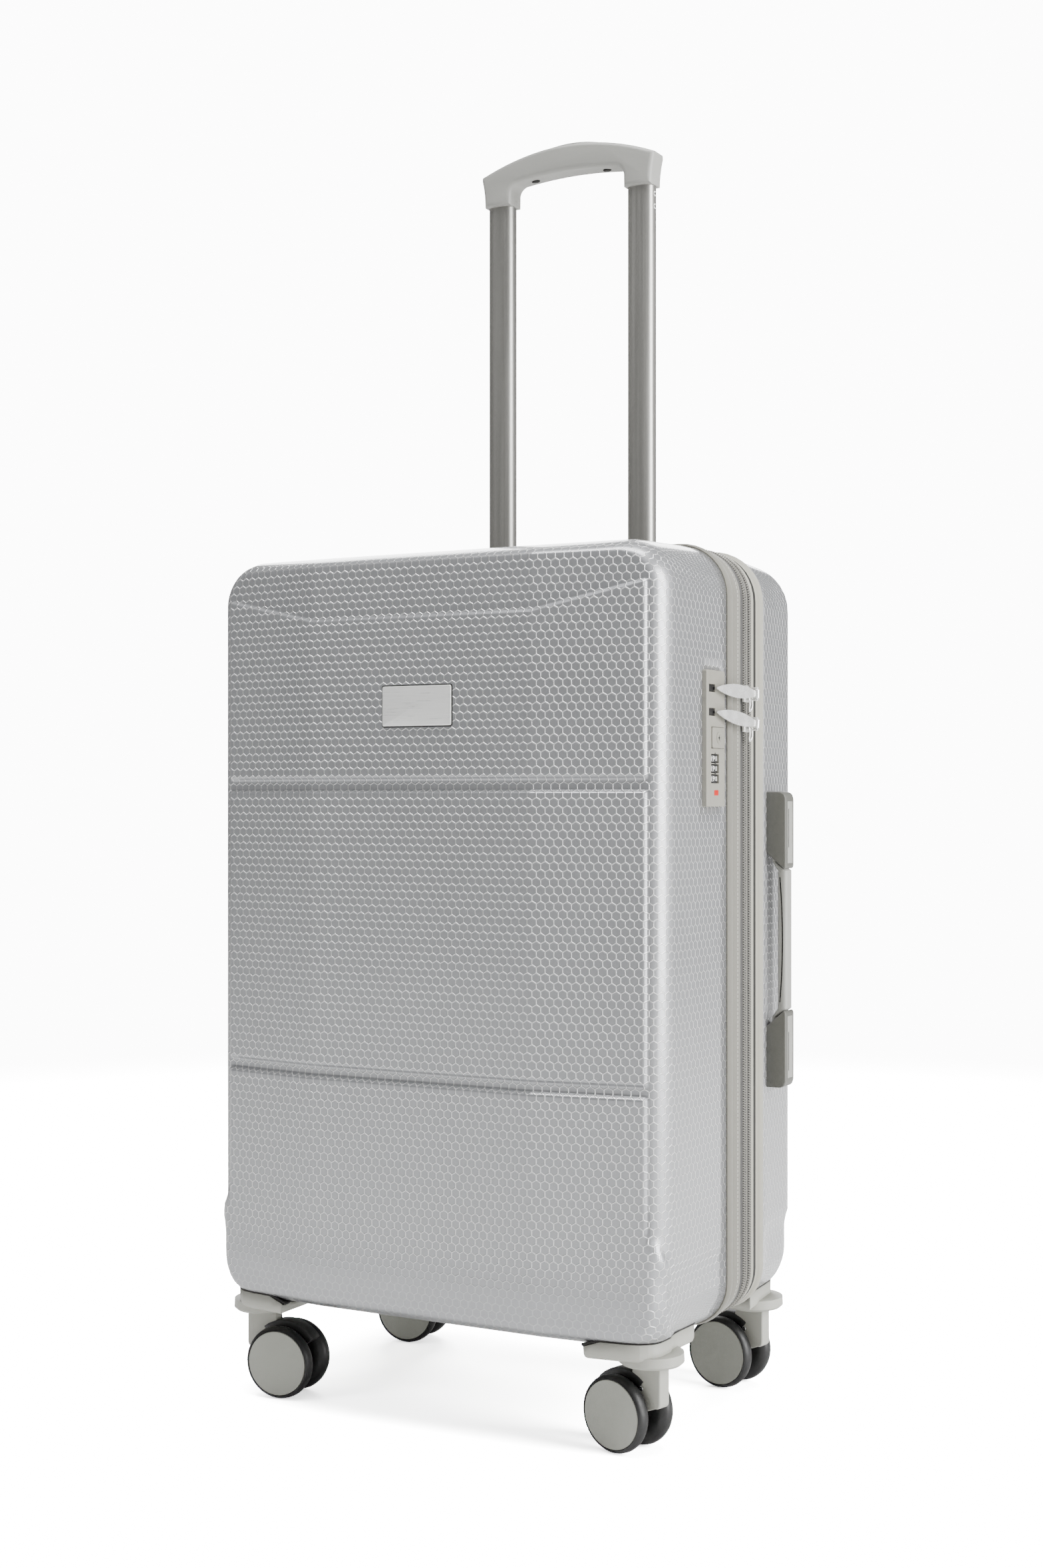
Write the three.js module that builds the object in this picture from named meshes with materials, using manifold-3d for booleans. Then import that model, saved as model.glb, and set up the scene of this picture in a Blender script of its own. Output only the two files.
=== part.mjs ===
// Hard shell suitcase on four twin-wheel casters, standing upright with its trolley handle out.
// Millimetres, +Z up, +Y towards the back. Everything is built about the middle of the case, and the
// group is then moved so that the origin is the centre of the bounding box's base.
import * as THREE from "three";
import { mergeVertices } from "three/addons/utils/BufferGeometryUtils.js";
import Module from "manifold-3d";

const wasm = await Module();
wasm.setup();

// ---------------------------------------------------------------- driving dimensions
const GAP = 0.3; // clearance between pieces that touch
const REACH = 1000; // longer than any piece, for cuts that go right through
const OUTLINE_STEPS = 3; // half the number of facets in each corner of the case's outline

const CASE = { halfWidth: 209, bottom: 82, top: 702, topRadius: 42, bottomRadius: 36 };
// depth stations from the front to the back of the case
const FRONT = { crest: -150, creaseX: 100, edge: -137, edgeX: 189 };
const LAYER = {
  frontRim: -24,
  frontBand: 5,
  mainZip: 16,
  expansionZip: 24,
  rearBand: 35,
  rearTrim: 50,
  rearFace: 140,
};
const SHELL = { wall: 3, edgeRadius: 26, draft: 0.048 };
const BAND = { wall: 3, pipingProud: 2, pipingWidth: 11, zipProud: 1.2, zipWall: 4 };
const GUSSET = { inset: 4.5, wall: 1.5, length: 46 };
const LINING = { inset: 19, y: 100, thickness: 1.5 };
const DIVIDER = { inset: 6, y: -16, thickness: 1.5 };
const NAMEPLATE = { width: 63, height: 31.5, z: 573, thickness: 2.4, recess: 1.4, radius: 2 };

const LOCK = {
  y: [-67, -31],
  z: [494, 600],
  face: 210.5,
  plate: 2.6,
  housingDepth: 18,
  housingInset: 2,
  radius: 3,
};
const DIAL = { y: -50, z: [531.3, 523.5, 515.6], radius: 7.5, width: 6.2, proud: 0.7 };
const BUTTON = { y: [-57, -33], z: [539.5, 555.7], proud: 0.6, depth: 10, travel: 2.5 };
const KEY = { radius: 4.6, y: -45, proud: 0.9, length: 10 };
const SLOT = { y: [-62, -50], z: [586, 567.5], height: 6, depth: 3 };

const ZIP_Y = 9.5; // middle of the main zip
const SLIDER = {
  z: [584, 560],
  width: 12,
  length: 14,
  thickness: 2,
  pin: 0.9,
  pinHeight: 10.5,
  earThickness: 1.4,
  earGap: 8,
};
const PULLER = { length: 64, width: 10.5, thickness: 1.6, eye: 2.2, eyeBore: 1.3 };

const SIDE_HANDLE = {
  y: [62, 80],
  z: [262, 506],
  mount: 50,
  proud: 17,
  grip: 9,
  gap: 8,
  bow: 5,
  tongue: 3,
  tongueLength: 26,
};
const TOP_HANDLE = { y: [71, 97], halfLength: 82, thickness: 9, rise: 3 };

const TROLLEY = { x: 70, y: 115, tubeWidth: 25, tubeDepth: 17, tubeWall: 1.5, top: 1038, length: 455 };
const RAIL = { wall: 1.5, clearance: 0.5, bottom: 112, top: CASE.top - 16 };
const BEZEL = { halfWidth: 96, y: [100, 130], thickness: 8, z: CASE.top - 8 };
const GRIP = {
  halfWidth: 86,
  depth: 24,
  endTop: 1065,
  top: 1084,
  underEnd: 1056,
  under: 1061,
  socket: 14,
};
const GRIP_BUTTON = { halfWidth: 55, depth: 13, proud: 4, pocket: 8, travel: 3.5 };

const WHEEL = { radius: 30, width: 14.5, gap: 0.7, bore: 3.6, shoulder: 4, facets: 20 };
const CASTER = { x: 180, y: 102, trail: 23, flangeRadius: 24, flangeBottom: 2 * WHEEL.radius + 11.5 };
// direction in which each caster trails at rest, in degrees from +X
const CASTERS = [
  { side: "front_left", x: -1, y: -1, heading: 6 },
  { side: "front_right", x: 1, y: -1, heading: 166 },
  { side: "rear_left", x: -1, y: 1, heading: 4 },
  { side: "rear_right", x: 1, y: 1, heading: 170 },
];
const GUARD = { drop: 5.5, top: 90, innerX: 139, depth: 88, proud: 0.6 };
const FORK = { thickness: 12, halfLength: 13, bottom: 37, pin: 5, pinLength: 14, boss: 8, bore: 3 };
const CAP = { radius: 26.5, thickness: 1.6, recess: 1.2 };

// ---------------------------------------------------------------- materials
const COLOUR = {
  shell: ["#a9a8a4", 0.32, 0],
  guard: ["#b9b8b0", 0.5, 0],
  fabric: ["#b3b0a3", 0.9, 0],
  zip: ["#6d6a64", 0.6, 0],
  lining: ["#77787a", 0.95, 0],
  chrome: ["#d8d8d6", 0.12, 1],
  lock: ["#b1afa6", 0.45, 0],
  dial: ["#161616", 0.4, 0],
  aluminium: ["#a5a4a1", 0.3, 1],
  grip: ["#a7a7a4", 0.5, 0],
  tyre: ["#0d0d0e", 0.55, 0],
  cap: ["#8c8d89", 0.5, 0],
  dark: ["#5b5b59", 0.5, 0],
};

// ---------------------------------------------------------------- helpers
const rad = THREE.MathUtils.degToRad;

// A closed geometry as a manifold-3d solid.
function solid(geometry) {
  const bare = geometry.index ? geometry.toNonIndexed() : geometry.clone();
  for (const key of Object.keys(bare.attributes)) if (key !== "position") bare.deleteAttribute(key);
  const merged = mergeVertices(bare, 1e-4);
  return new wasm.Manifold(
    new wasm.Mesh({
      numProp: 3,
      vertProperties: merged.attributes.position.array,
      triVerts: new Uint32Array(merged.index.array),
    }),
  );
}

function geometryOf(body) {
  const { numProp, vertProperties, triVerts } = body.getMesh();
  const geometry = new THREE.BufferGeometry()
    .setAttribute("position", new THREE.BufferAttribute(vertProperties.slice(0), numProp))
    .setIndex(new THREE.BufferAttribute(triVerts, 1));
  geometry.computeVertexNormals();
  return geometry;
}

// A named mesh from a geometry or a manifold-3d solid.
function piece(name, shape, finish) {
  const [color, roughness, metalness] = COLOUR[finish];
  const geometry = shape.isBufferGeometry ? shape : geometryOf(shape);
  const mesh = new THREE.Mesh(geometry, new THREE.MeshStandardMaterial({ color, roughness, metalness }));
  mesh.name = name;
  return mesh;
}

function box([x0, x1], [y0, y1], [z0, z1]) {
  return new THREE.BoxGeometry(x1 - x0, y1 - y0, z1 - z0).translate(
    (x0 + x1) / 2,
    (y0 + y1) / 2,
    (z0 + z1) / 2,
  );
}

// A shape drawn in X and Z, extruded from y0 to y1.
function alongY(shape, y0, y1, curveSegments = 3) {
  return new THREE.ExtrudeGeometry(shape, { depth: y1 - y0, bevelEnabled: false, curveSegments })
    .rotateX(Math.PI / 2)
    .translate(0, y1, 0);
}

// A shape drawn in Y and Z, extruded from x0 to x1.
function alongX(shape, x0, x1, curveSegments = 3) {
  return new THREE.ExtrudeGeometry(shape, { depth: x1 - x0, bevelEnabled: false, curveSegments })
    .rotateZ(Math.PI / 2)
    .rotateY(Math.PI / 2)
    .translate(x0, 0, 0);
}

// A shape drawn in X and Y, extruded from z0 to z1.
function alongZ(shape, z0, z1, curveSegments = 2) {
  return new THREE.ExtrudeGeometry(shape, {
    depth: z1 - z0,
    bevelEnabled: false,
    curveSegments,
  }).translate(0, 0, z0);
}

function cylinderZ(radius, z0, z1, segments = 16) {
  return new THREE.CylinderGeometry(radius, radius, z1 - z0, segments)
    .rotateX(Math.PI / 2)
    .translate(0, 0, (z0 + z1) / 2);
}

function roundedRectangle(x0, x1, y0, y1, radius) {
  return roundedBox(x0, x1, y0, y1, radius, radius);
}

// A rectangle with one radius at its two lower corners and another at its two upper ones.
function roundedBox(x0, x1, y0, y1, lower, upper) {
  const shape = new THREE.Shape();
  shape.moveTo(x0 + lower, y0);
  shape.lineTo(x1 - lower, y0);
  shape.absarc(x1 - lower, y0 + lower, lower, -Math.PI / 2, 0);
  shape.lineTo(x1, y1 - upper);
  shape.absarc(x1 - upper, y1 - upper, upper, 0, Math.PI / 2);
  shape.lineTo(x0 + upper, y1);
  shape.absarc(x0 + upper, y1 - upper, upper, Math.PI / 2, Math.PI);
  shape.lineTo(x0, y0 + lower);
  shape.absarc(x0 + lower, y0 + lower, lower, Math.PI, 1.5 * Math.PI);
  return shape;
}

// The case's outline in X and Z, grown outwards by a distance.
function outline(grow = 0) {
  return roundedBox(
    -CASE.halfWidth - grow,
    CASE.halfWidth + grow,
    CASE.bottom - grow,
    CASE.top + grow,
    CASE.bottomRadius + grow,
    CASE.topRadius + grow,
  );
}

// ---------------------------------------------------------------- shells
// Narrows a shell towards its face, so that it draws out of its mould.
function draft(geometry, rim, outward) {
  const position = geometry.attributes.position;
  const middle = (CASE.top + CASE.bottom) / 2;
  for (let i = 0; i < position.count; i++) {
    const shrink = SHELL.draft * outward * (position.getY(i) - rim);
    const z = position.getZ(i) - middle;
    position.setX(i, position.getX(i) * (1 - shrink / CASE.halfWidth));
    position.setZ(i, middle + z * (1 - shrink / (CASE.top - middle)));
  }
  return geometry;
}

// The space inside a half shell's outer skin, moved inwards by an inset; the front one is faceted.
function shellBlock(front, inset, grow = 0) {
  const rim = front ? LAYER.frontRim - GAP : LAYER.rearTrim + GAP;
  const face = front ? FRONT.crest - grow : LAYER.rearFace + grow;
  const radius = SHELL.edgeRadius - inset + grow;
  const depth = Math.abs(face - rim) - radius + REACH / 10;
  const geometry = new THREE.ExtrudeGeometry(outline(grow - inset), {
    depth,
    bevelThickness: radius,
    bevelSize: radius,
    bevelOffset: -radius,
    bevelSegments: 3,
    curveSegments: OUTLINE_STEPS,
  }).rotateX(Math.PI / 2);
  if (front) geometry.translate(0, face + inset + depth + radius, 0);
  else geometry.translate(0, face - inset - radius, 0);
  const body = solid(draft(geometry, rim, front ? -1 : 1));
  const side = CASE.halfWidth + REACH / 10;
  if (!front) return body.intersect(solid(box([-side, side], [rim, REACH], [0, REACH])));
  const slope = (FRONT.edge - FRONT.crest) / (FRONT.edgeX - FRONT.creaseX);
  const flare = (side - FRONT.creaseX) * slope;
  const plan = new THREE.Shape();
  plan.moveTo(-FRONT.creaseX, face + inset);
  plan.lineTo(FRONT.creaseX, face + inset);
  plan.lineTo(side, face + inset + flare);
  plan.lineTo(side, rim);
  plan.lineTo(-side, rim);
  plan.lineTo(-side, face + inset + flare);
  return body.intersect(solid(alongZ(plan, 0, REACH)));
}

// The corner block that a guard fills, on one side of one half of the case.
function guardBlock(x, y, grow = 0) {
  const outer = CASE.halfWidth + 20;
  const xs = [GUARD.innerX - grow, outer].map((v) => v * x).sort((a, b) => a - b);
  const rim = y < 0 ? FRONT.crest + GUARD.depth + 13 : LAYER.rearFace - GUARD.depth + 2;
  const ys = y < 0 ? [-REACH, rim + grow] : [rim - grow, REACH];
  return solid(box(xs, ys, [0, GUARD.top + grow]));
}

function halfShell(front) {
  let body = shellBlock(front, 0).subtract(shellBlock(front, SHELL.wall));
  const y = front ? -1 : 1;
  for (const x of [-1, 1]) body = body.subtract(guardBlock(x, y, GAP));
  return body;
}

function frontShell() {
  const plate = roundedRectangle(
    -NAMEPLATE.width / 2 - GAP,
    NAMEPLATE.width / 2 + GAP,
    NAMEPLATE.z - NAMEPLATE.height / 2 - GAP,
    NAMEPLATE.z + NAMEPLATE.height / 2 + GAP,
    NAMEPLATE.radius,
  );
  const recess = alongY(plate, FRONT.crest - REACH, FRONT.crest + NAMEPLATE.recess);
  const lockHole = lockHousing(GAP, CASE.halfWidth / 2);
  return halfShell(true).subtract(solid(recess)).subtract(solid(lockHole));
}

function rearShell() {
  const opening = alongZ(
    roundedRectangle(
      -BEZEL.halfWidth - GAP,
      BEZEL.halfWidth + GAP,
      BEZEL.y[0] - GAP,
      BEZEL.y[1] + GAP,
      4,
    ),
    BEZEL.z - 20,
    REACH,
  );
  return halfShell(false).subtract(solid(opening));
}

// A ring that follows the case's outline, between two depths.
function ring(grow, wall, y0, y1, curveSegments = OUTLINE_STEPS) {
  const shape = outline(grow);
  shape.holes.push(new THREE.Path(outline(grow - wall).getPoints(curveSegments)));
  return alongY(shape, y0 + GAP / 2, y1 - GAP / 2, curveSegments);
}

// A flat panel that fills the outline inside the case.
function sheet({ inset, y, thickness }) {
  return alongY(outline(-inset), y, y + thickness, OUTLINE_STEPS);
}

// Fabric band with the rounded piping that covers a shell's rim.
function trim(bandFrom, bandTo, pipingFrom) {
  const piping = ring(BAND.pipingProud, BAND.wall + BAND.pipingProud, pipingFrom, pipingFrom + BAND.pipingWidth);
  return solid(ring(0, BAND.wall, bandFrom, bandTo)).add(solid(piping));
}

// ---------------------------------------------------------------- nameplate and lock
function nameplate() {
  const { width, height, z, radius, recess, thickness } = NAMEPLATE;
  const back = FRONT.crest + recess - GAP;
  return alongY(
    roundedRectangle(-width / 2, width / 2, z - height / 2, z + height / 2, radius),
    back - thickness,
    back,
  );
}

// The part of the lock that reaches through the shell, grown by a clearance.
function lockHousing(grow, extra = 0) {
  const inset = LOCK.housingInset;
  return box(
    [LOCK.face - LOCK.housingDepth - grow, LOCK.face + extra],
    [LOCK.y[0] + inset - grow, LOCK.y[1] - inset + grow],
    [LOCK.z[0] + inset - grow, LOCK.z[1] - inset + grow],
  );
}

function lockBody() {
  const plate = alongX(
    roundedRectangle(...LOCK.y, ...LOCK.z, LOCK.radius),
    LOCK.face - LOCK.plate,
    LOCK.face,
  );
  const shell = shellBlock(true, 0, GAP).add(shellBlock(true, 0));
  let body = solid(plate).subtract(shell).add(solid(lockHousing(0)));
  for (const z of DIAL.z)
    body = body.subtract(
      solid(cylinderZ(DIAL.radius + GAP, z - DIAL.width / 2 - GAP, z + DIAL.width / 2 + GAP).translate(dialX(), DIAL.y, 0)),
    );
  body = body.subtract(solid(buttonBlock(GAP, BUTTON.travel + GAP, REACH / 10)));
  for (const z of SLOT.z)
    body = body.subtract(
      solid(
        box(
          [LOCK.face - SLOT.depth, LOCK.face + SLOT.depth],
          SLOT.y,
          [z - SLOT.height / 2, z + SLOT.height / 2],
        ),
      ),
    );
  return body;
}

const dialX = () => LOCK.face + DIAL.proud - DIAL.radius;

function dial(z) {
  return cylinderZ(DIAL.radius, z - DIAL.width / 2, z + DIAL.width / 2).translate(dialX(), DIAL.y, 0);
}

// The button's block, grown by a side clearance, a clearance behind it and a reach in front of it.
function buttonBlock(side, behind, infront) {
  return box(
    [LOCK.face + BUTTON.proud - BUTTON.depth - behind, LOCK.face + BUTTON.proud + infront],
    [BUTTON.y[0] - side, BUTTON.y[1] + side],
    [BUTTON.z[0] - side, BUTTON.z[1] + side],
  );
}

const keyZ = (BUTTON.z[0] + BUTTON.z[1]) / 2;

function keyPin(radius, back, front) {
  return cylinderZ(radius, back, front).rotateY(Math.PI / 2).translate(0, KEY.y, keyZ);
}

function lockButton() {
  const hole = keyPin(KEY.radius + GAP, LOCK.face - REACH / 10, LOCK.face + REACH / 10);
  return solid(buttonBlock(0, 0, 0)).subtract(solid(hole));
}

function keyCylinder() {
  return keyPin(KEY.radius, LOCK.face + KEY.proud - KEY.length, LOCK.face + KEY.proud);
}

// ---------------------------------------------------------------- zip sliders and pullers
const SLIDER_X = CASE.halfWidth + BAND.zipProud + 0.4;
const PIN_X = SLIDER_X + SLIDER.pinHeight;

function zipSlider(z) {
  const { width, length, thickness, pin, earThickness, earGap } = SLIDER;
  const plate = alongX(
    roundedRectangle(ZIP_Y - width / 2, ZIP_Y + width / 2, z - length / 2, z + length / 2, 3),
    SLIDER_X,
    SLIDER_X + thickness,
  );
  let body = solid(plate).add(
    solid(cylinderZ(pin, z - earGap / 2 - 0.5, z + earGap / 2 + 0.5, 12).translate(PIN_X, ZIP_Y, 0)),
  );
  for (const side of [-1, 1]) {
    const near = z + (side * earGap) / 2;
    const far = near + side * earThickness;
    body = body.add(
      solid(
        box(
          [SLIDER_X, PIN_X + pin + 0.6],
          [ZIP_Y - 2, ZIP_Y + 2],
          [Math.min(near, far), Math.max(near, far)],
        ),
      ),
    );
  }
  return body;
}

// A leaf that runs forward from its eye on the slider's pin and ends over one of the lock's slots.
function zipPuller(z, slotZ) {
  const { length, width, thickness, eye, eyeBore } = PULLER;
  const leaf = new THREE.Shape();
  leaf.moveTo(0, -2);
  leaf.quadraticCurveTo(-length * 0.55, -width * 0.86, -length, -2);
  leaf.lineTo(-length, 2);
  leaf.quadraticCurveTo(-length * 0.55, width * 0.86, 0, 2);
  const half = SLIDER.earGap / 2 - GAP;
  const inward = Math.asin((PIN_X - LOCK.face - BUTTON.proud - thickness - KEY.proud) / length);
  const upward = Math.asin((slotZ - z) / length);
  return solid(alongX(leaf, -thickness / 2, thickness / 2).rotateX(-upward).rotateZ(-inward))
    .add(solid(cylinderZ(eye, -half, half)))
    .subtract(solid(cylinderZ(eyeBore, -half - 1, half + 1)))
    .translate([PIN_X, ZIP_Y, z]);
}

// ---------------------------------------------------------------- handles
// The outer skin's half width at a depth in the rear half.
const rearHalfWidth = (y) => CASE.halfWidth - SHELL.draft * Math.max(0, y - LAYER.rearTrim);
const sideSeat = rearHalfWidth(SIDE_HANDLE.y[0]) + GAP;
const sideTop = rearHalfWidth(SIDE_HANDLE.y[0]) + SIDE_HANDLE.proud;

function sideMount(upper) {
  const { y, z, mount, tongue } = SIDE_HANDLE;
  const [z0, z1] = upper ? [z[1] - mount, z[1]] : [z[0], z[0] + mount];
  const travelRoom = box(
    [sideSeat + 1.5 - GAP, sideTop - 2],
    [y[0] + 3 - GAP, y[1] - 3 + GAP],
    upper ? [z0 - 1, z0 + SIDE_HANDLE.tongueLength + tongue] : [z1 - SIDE_HANDLE.tongueLength - tongue, z1 + 1],
  );
  const block = alongY(roundedRectangle(sideSeat - 8, sideTop, z0, z1, 5), ...y);
  return solid(block).subtract(shellBlock(false, 0, GAP)).subtract(solid(travelRoom));
}

function sideGrip() {
  const { y, z, mount, gap, grip, bow, tongue, tongueLength } = SIDE_HANDLE;
  const low = z[0] + mount + 1;
  const high = z[1] - mount - 1;
  const middle = (low + high) / 2;
  const inner = sideSeat + gap;
  const foot = sideSeat + 1.5;
  const shape = new THREE.Shape();
  shape.moveTo(foot, low - tongueLength);
  shape.lineTo(foot + tongue, low - tongueLength);
  shape.lineTo(foot + tongue, low);
  shape.lineTo(inner + grip - 1, low);
  shape.quadraticCurveTo(inner + grip - 1 + bow * 2, middle, inner + grip - 1, high);
  shape.lineTo(foot + tongue, high);
  shape.lineTo(foot + tongue, high + tongueLength);
  shape.lineTo(foot, high + tongueLength);
  shape.lineTo(foot, high - 8);
  shape.quadraticCurveTo(inner + bow, middle, foot, low + 8);
  return alongY(shape, y[0] + 3, y[1] - 3, 5);
}

function topHandle() {
  const { y, halfLength, thickness, rise } = TOP_HANDLE;
  const base = CASE.top + GAP;
  const shape = new THREE.Shape();
  shape.moveTo(-halfLength, base);
  shape.lineTo(halfLength, base);
  shape.lineTo(halfLength, base + thickness - 2);
  shape.quadraticCurveTo(0, base + thickness + rise + 4, -halfLength, base + thickness - 2);
  return alongY(shape, ...y, 6);
}

const tubeShape = (grow) =>
  roundedRectangle(
    -TROLLEY.tubeWidth / 2 - grow,
    TROLLEY.tubeWidth / 2 + grow,
    -TROLLEY.tubeDepth / 2 - grow,
    TROLLEY.tubeDepth / 2 + grow,
    TROLLEY.tubeDepth / 2 - 1 + grow,
  );

const onTrolley = (geometry, side) => geometry.translate(side * TROLLEY.x, TROLLEY.y, 0);

// A hollow tube; the grip's spigot goes into its upper end.
function tube(side) {
  const { top, length, tubeWall } = TROLLEY;
  const body = solid(alongZ(tubeShape(0), top - length, top)).subtract(
    solid(alongZ(tubeShape(-tubeWall), top - length - 1, top + 1)),
  );
  return onTrolley(geometryOf(body), side);
}

function rail(side) {
  const inner = RAIL.clearance;
  const body = solid(alongZ(tubeShape(inner + RAIL.wall), RAIL.bottom, RAIL.top)).subtract(
    solid(alongZ(tubeShape(inner), RAIL.bottom - 1, RAIL.top + 1)),
  );
  return onTrolley(geometryOf(body), side);
}

function bezel() {
  const { halfWidth, y, thickness, z } = BEZEL;
  let body = solid(alongZ(roundedRectangle(-halfWidth, halfWidth, ...y, 4), z, z + thickness));
  for (const side of [-1, 1])
    body = body.subtract(solid(onTrolley(alongZ(tubeShape(RAIL.clearance), z - 1, z + thickness + 1), side)));
  return body;
}

function grip() {
  const { halfWidth, endTop, top, underEnd, under, depth, socket } = GRIP;
  const legInner = TROLLEY.x - TROLLEY.tubeWidth / 2 - 1;
  const legOuter = TROLLEY.x + TROLLEY.tubeWidth / 2 + 1;
  const shape = new THREE.Shape();
  shape.moveTo(-legOuter, TROLLEY.top + GAP);
  shape.lineTo(-legInner, TROLLEY.top + GAP);
  shape.lineTo(-legInner + 3, underEnd);
  shape.quadraticCurveTo(0, 2 * under - underEnd, legInner - 3, underEnd);
  shape.lineTo(legInner, TROLLEY.top + GAP);
  shape.lineTo(legOuter, TROLLEY.top + GAP);
  shape.lineTo(halfWidth, endTop);
  shape.quadraticCurveTo(0, 2 * top - endTop, -halfWidth, endTop);
  let body = solid(alongY(shape, TROLLEY.y - depth / 2, TROLLEY.y + depth / 2, 10));
  body = body.subtract(solid(gripButtonBlock(GAP, GRIP_BUTTON.travel)));
  for (const side of [-1, 1])
    body = body.add(
      solid(onTrolley(alongZ(tubeShape(-TROLLEY.tubeWall - GAP), TROLLEY.top - socket, TROLLEY.top + 2), side)),
    );
  return body;
}

// The push button's lens shape in the grip's top, grown by a clearance and a depth for its travel.
function gripButtonBlock(grow, travel) {
  const { halfWidth, proud, depth, pocket } = GRIP_BUTTON;
  const x = halfWidth + grow;
  const base = GRIP.top - pocket;
  const shape = new THREE.Shape();
  shape.moveTo(-x, base - travel - grow);
  shape.lineTo(x, base - travel - grow);
  shape.lineTo(x, base + 2);
  shape.quadraticCurveTo(0, 2 * (GRIP.top + proud) - base - 2 + (grow ? REACH / 10 : 0), -x, base + 2);
  return alongY(shape, TROLLEY.y - depth / 2 - grow, TROLLEY.y + depth / 2 + grow, 8);
}

// ---------------------------------------------------------------- casters
// The corner guard under one corner of the case, with its swivel flange and the bore for the fork's pin.
function casterMount({ x, y }) {
  const front = y < 0;
  const shell = shellBlock(front, 0, GUARD.proud);
  const skin = shell.add(shell.translate([0, 0, -GUARD.drop]));
  const floor = solid(box([-REACH, REACH], [-REACH, REACH], [0, GUARD.top]));
  const flange = cylinderZ(CASTER.flangeRadius, CASTER.flangeBottom, CASE.bottom + 4, 24);
  const bore = cylinderZ(FORK.pin + GAP, CASTER.flangeBottom - 1, CASTER.flangeBottom + FORK.pinLength + 1);
  return skin
    .intersect(guardBlock(x, y))
    .intersect(floor)
    .add(solid(flange.translate(x * CASTER.x, y * CASTER.y, 0)))
    .subtract(solid(bore.translate(x * CASTER.x, y * CASTER.y, 0)));
}

// Fork drawn in its own frame: the kingpin is the Z axis and the wheels trail along +X.
function fork() {
  const { thickness, halfLength, bottom, pin, pinLength, boss, bore } = FORK;
  const top = CASTER.flangeBottom - GAP;
  const axleZ = WHEEL.radius;
  const profile = new THREE.Shape();
  profile.moveTo(-halfLength, top);
  profile.lineTo(-halfLength, bottom + 5);
  profile.quadraticCurveTo(-halfLength, bottom, -halfLength + 6, bottom);
  profile.lineTo(CASTER.trail - boss, axleZ - 2);
  profile.absarc(CASTER.trail, axleZ, boss, Math.PI * 1.1, Math.PI * 2.35);
  profile.lineTo(halfLength + 3, top - 4);
  profile.lineTo(halfLength, top);
  const axleHole = new THREE.Path();
  axleHole.absarc(CASTER.trail, axleZ, bore + 2 * GAP, 0, 2 * Math.PI);
  profile.holes.push(axleHole);
  const plate = alongY(profile, -thickness / 2, thickness / 2, 6);
  return solid(plate).add(solid(cylinderZ(pin, top - 1, CASTER.flangeBottom + pinLength)));
}

// Round pieces of a wheel are turned about +Z, then laid along the axle, which is the fork's Y axis.
const onAxle = (geometry) =>
  geometry.rotateX(Math.PI / 2).translate(CASTER.trail, 0, WHEEL.radius);

function turned(points) {
  return new THREE.LatheGeometry(
    points.map(([r, h]) => new THREE.Vector2(r, h)),
    WHEEL.facets,
  ).rotateX(Math.PI / 2);
}

const wheelInner = FORK.thickness / 2 + WHEEL.gap;
const wheelOuter = wheelInner + WHEEL.width;

function axle() {
  const reach = wheelOuter - CAP.recess - CAP.thickness - 2 * GAP;
  return onAxle(cylinderZ(FORK.bore, -reach, reach));
}

// A tyre with its hub; side is -1 for the wheel at -Y and 1 for the one at +Y.
function wheel(side) {
  const { radius, shoulder, bore } = WHEEL;
  const rim = wheelOuter - CAP.recess - CAP.thickness - GAP;
  const lip = CAP.radius + GAP;
  const profile = [
    [bore, wheelInner],
    [radius - shoulder, wheelInner],
    [radius, wheelInner + shoulder],
    [radius, wheelOuter - shoulder],
    [radius - shoulder * 0.5, wheelOuter],
    [lip, wheelOuter],
    [lip, rim],
    [bore, rim],
    [bore, wheelInner],
  ];
  return onAxle(facing(turned(profile), side));
}

function wheelCap(side) {
  const inner = wheelOuter - CAP.recess - CAP.thickness;
  const profile = [
    [0, inner],
    [CAP.radius, inner],
    [CAP.radius, inner + CAP.thickness],
    [0, inner + CAP.thickness],
  ];
  return onAxle(facing(turned(profile), side));
}

// Turns a wheel piece so that its outer face looks along the chosen side of the axle.
const facing = (geometry, side) => (side > 0 ? geometry.rotateX(Math.PI) : geometry);

// ---------------------------------------------------------------- assembly
const suitcase = new THREE.Group();
const put = (name, shape, finish, parent = suitcase) => parent.add(piece(name, shape, finish));

put("front_shell", frontShell(), "shell");
put("front_trim", trim(LAYER.frontRim, LAYER.frontBand, LAYER.frontRim), "fabric");
put("lid_divider", sheet(DIVIDER), "lining");
put("nameplate", nameplate(), "chrome");

put("main_zip", ring(BAND.zipProud, BAND.zipWall, LAYER.frontBand, LAYER.mainZip), "zip");
const gussetFront = LAYER.frontBand + 2;
put(
  "expansion_gusset",
  ring(-GUSSET.inset, GUSSET.wall, gussetFront, gussetFront + GUSSET.length),
  "lining",
);

put("rear_shell", rearShell(), "shell");
put("expansion_zip", ring(BAND.zipProud, BAND.zipWall, LAYER.mainZip, LAYER.expansionZip), "zip");
put("rear_band", ring(0, BAND.wall, LAYER.expansionZip, LAYER.rearBand), "fabric");
put(
  "rear_trim",
  trim(LAYER.rearBand, LAYER.rearTrim, LAYER.rearTrim - BAND.pipingWidth),
  "fabric",
);
put("rear_lining", sheet(LINING), "lining");

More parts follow.
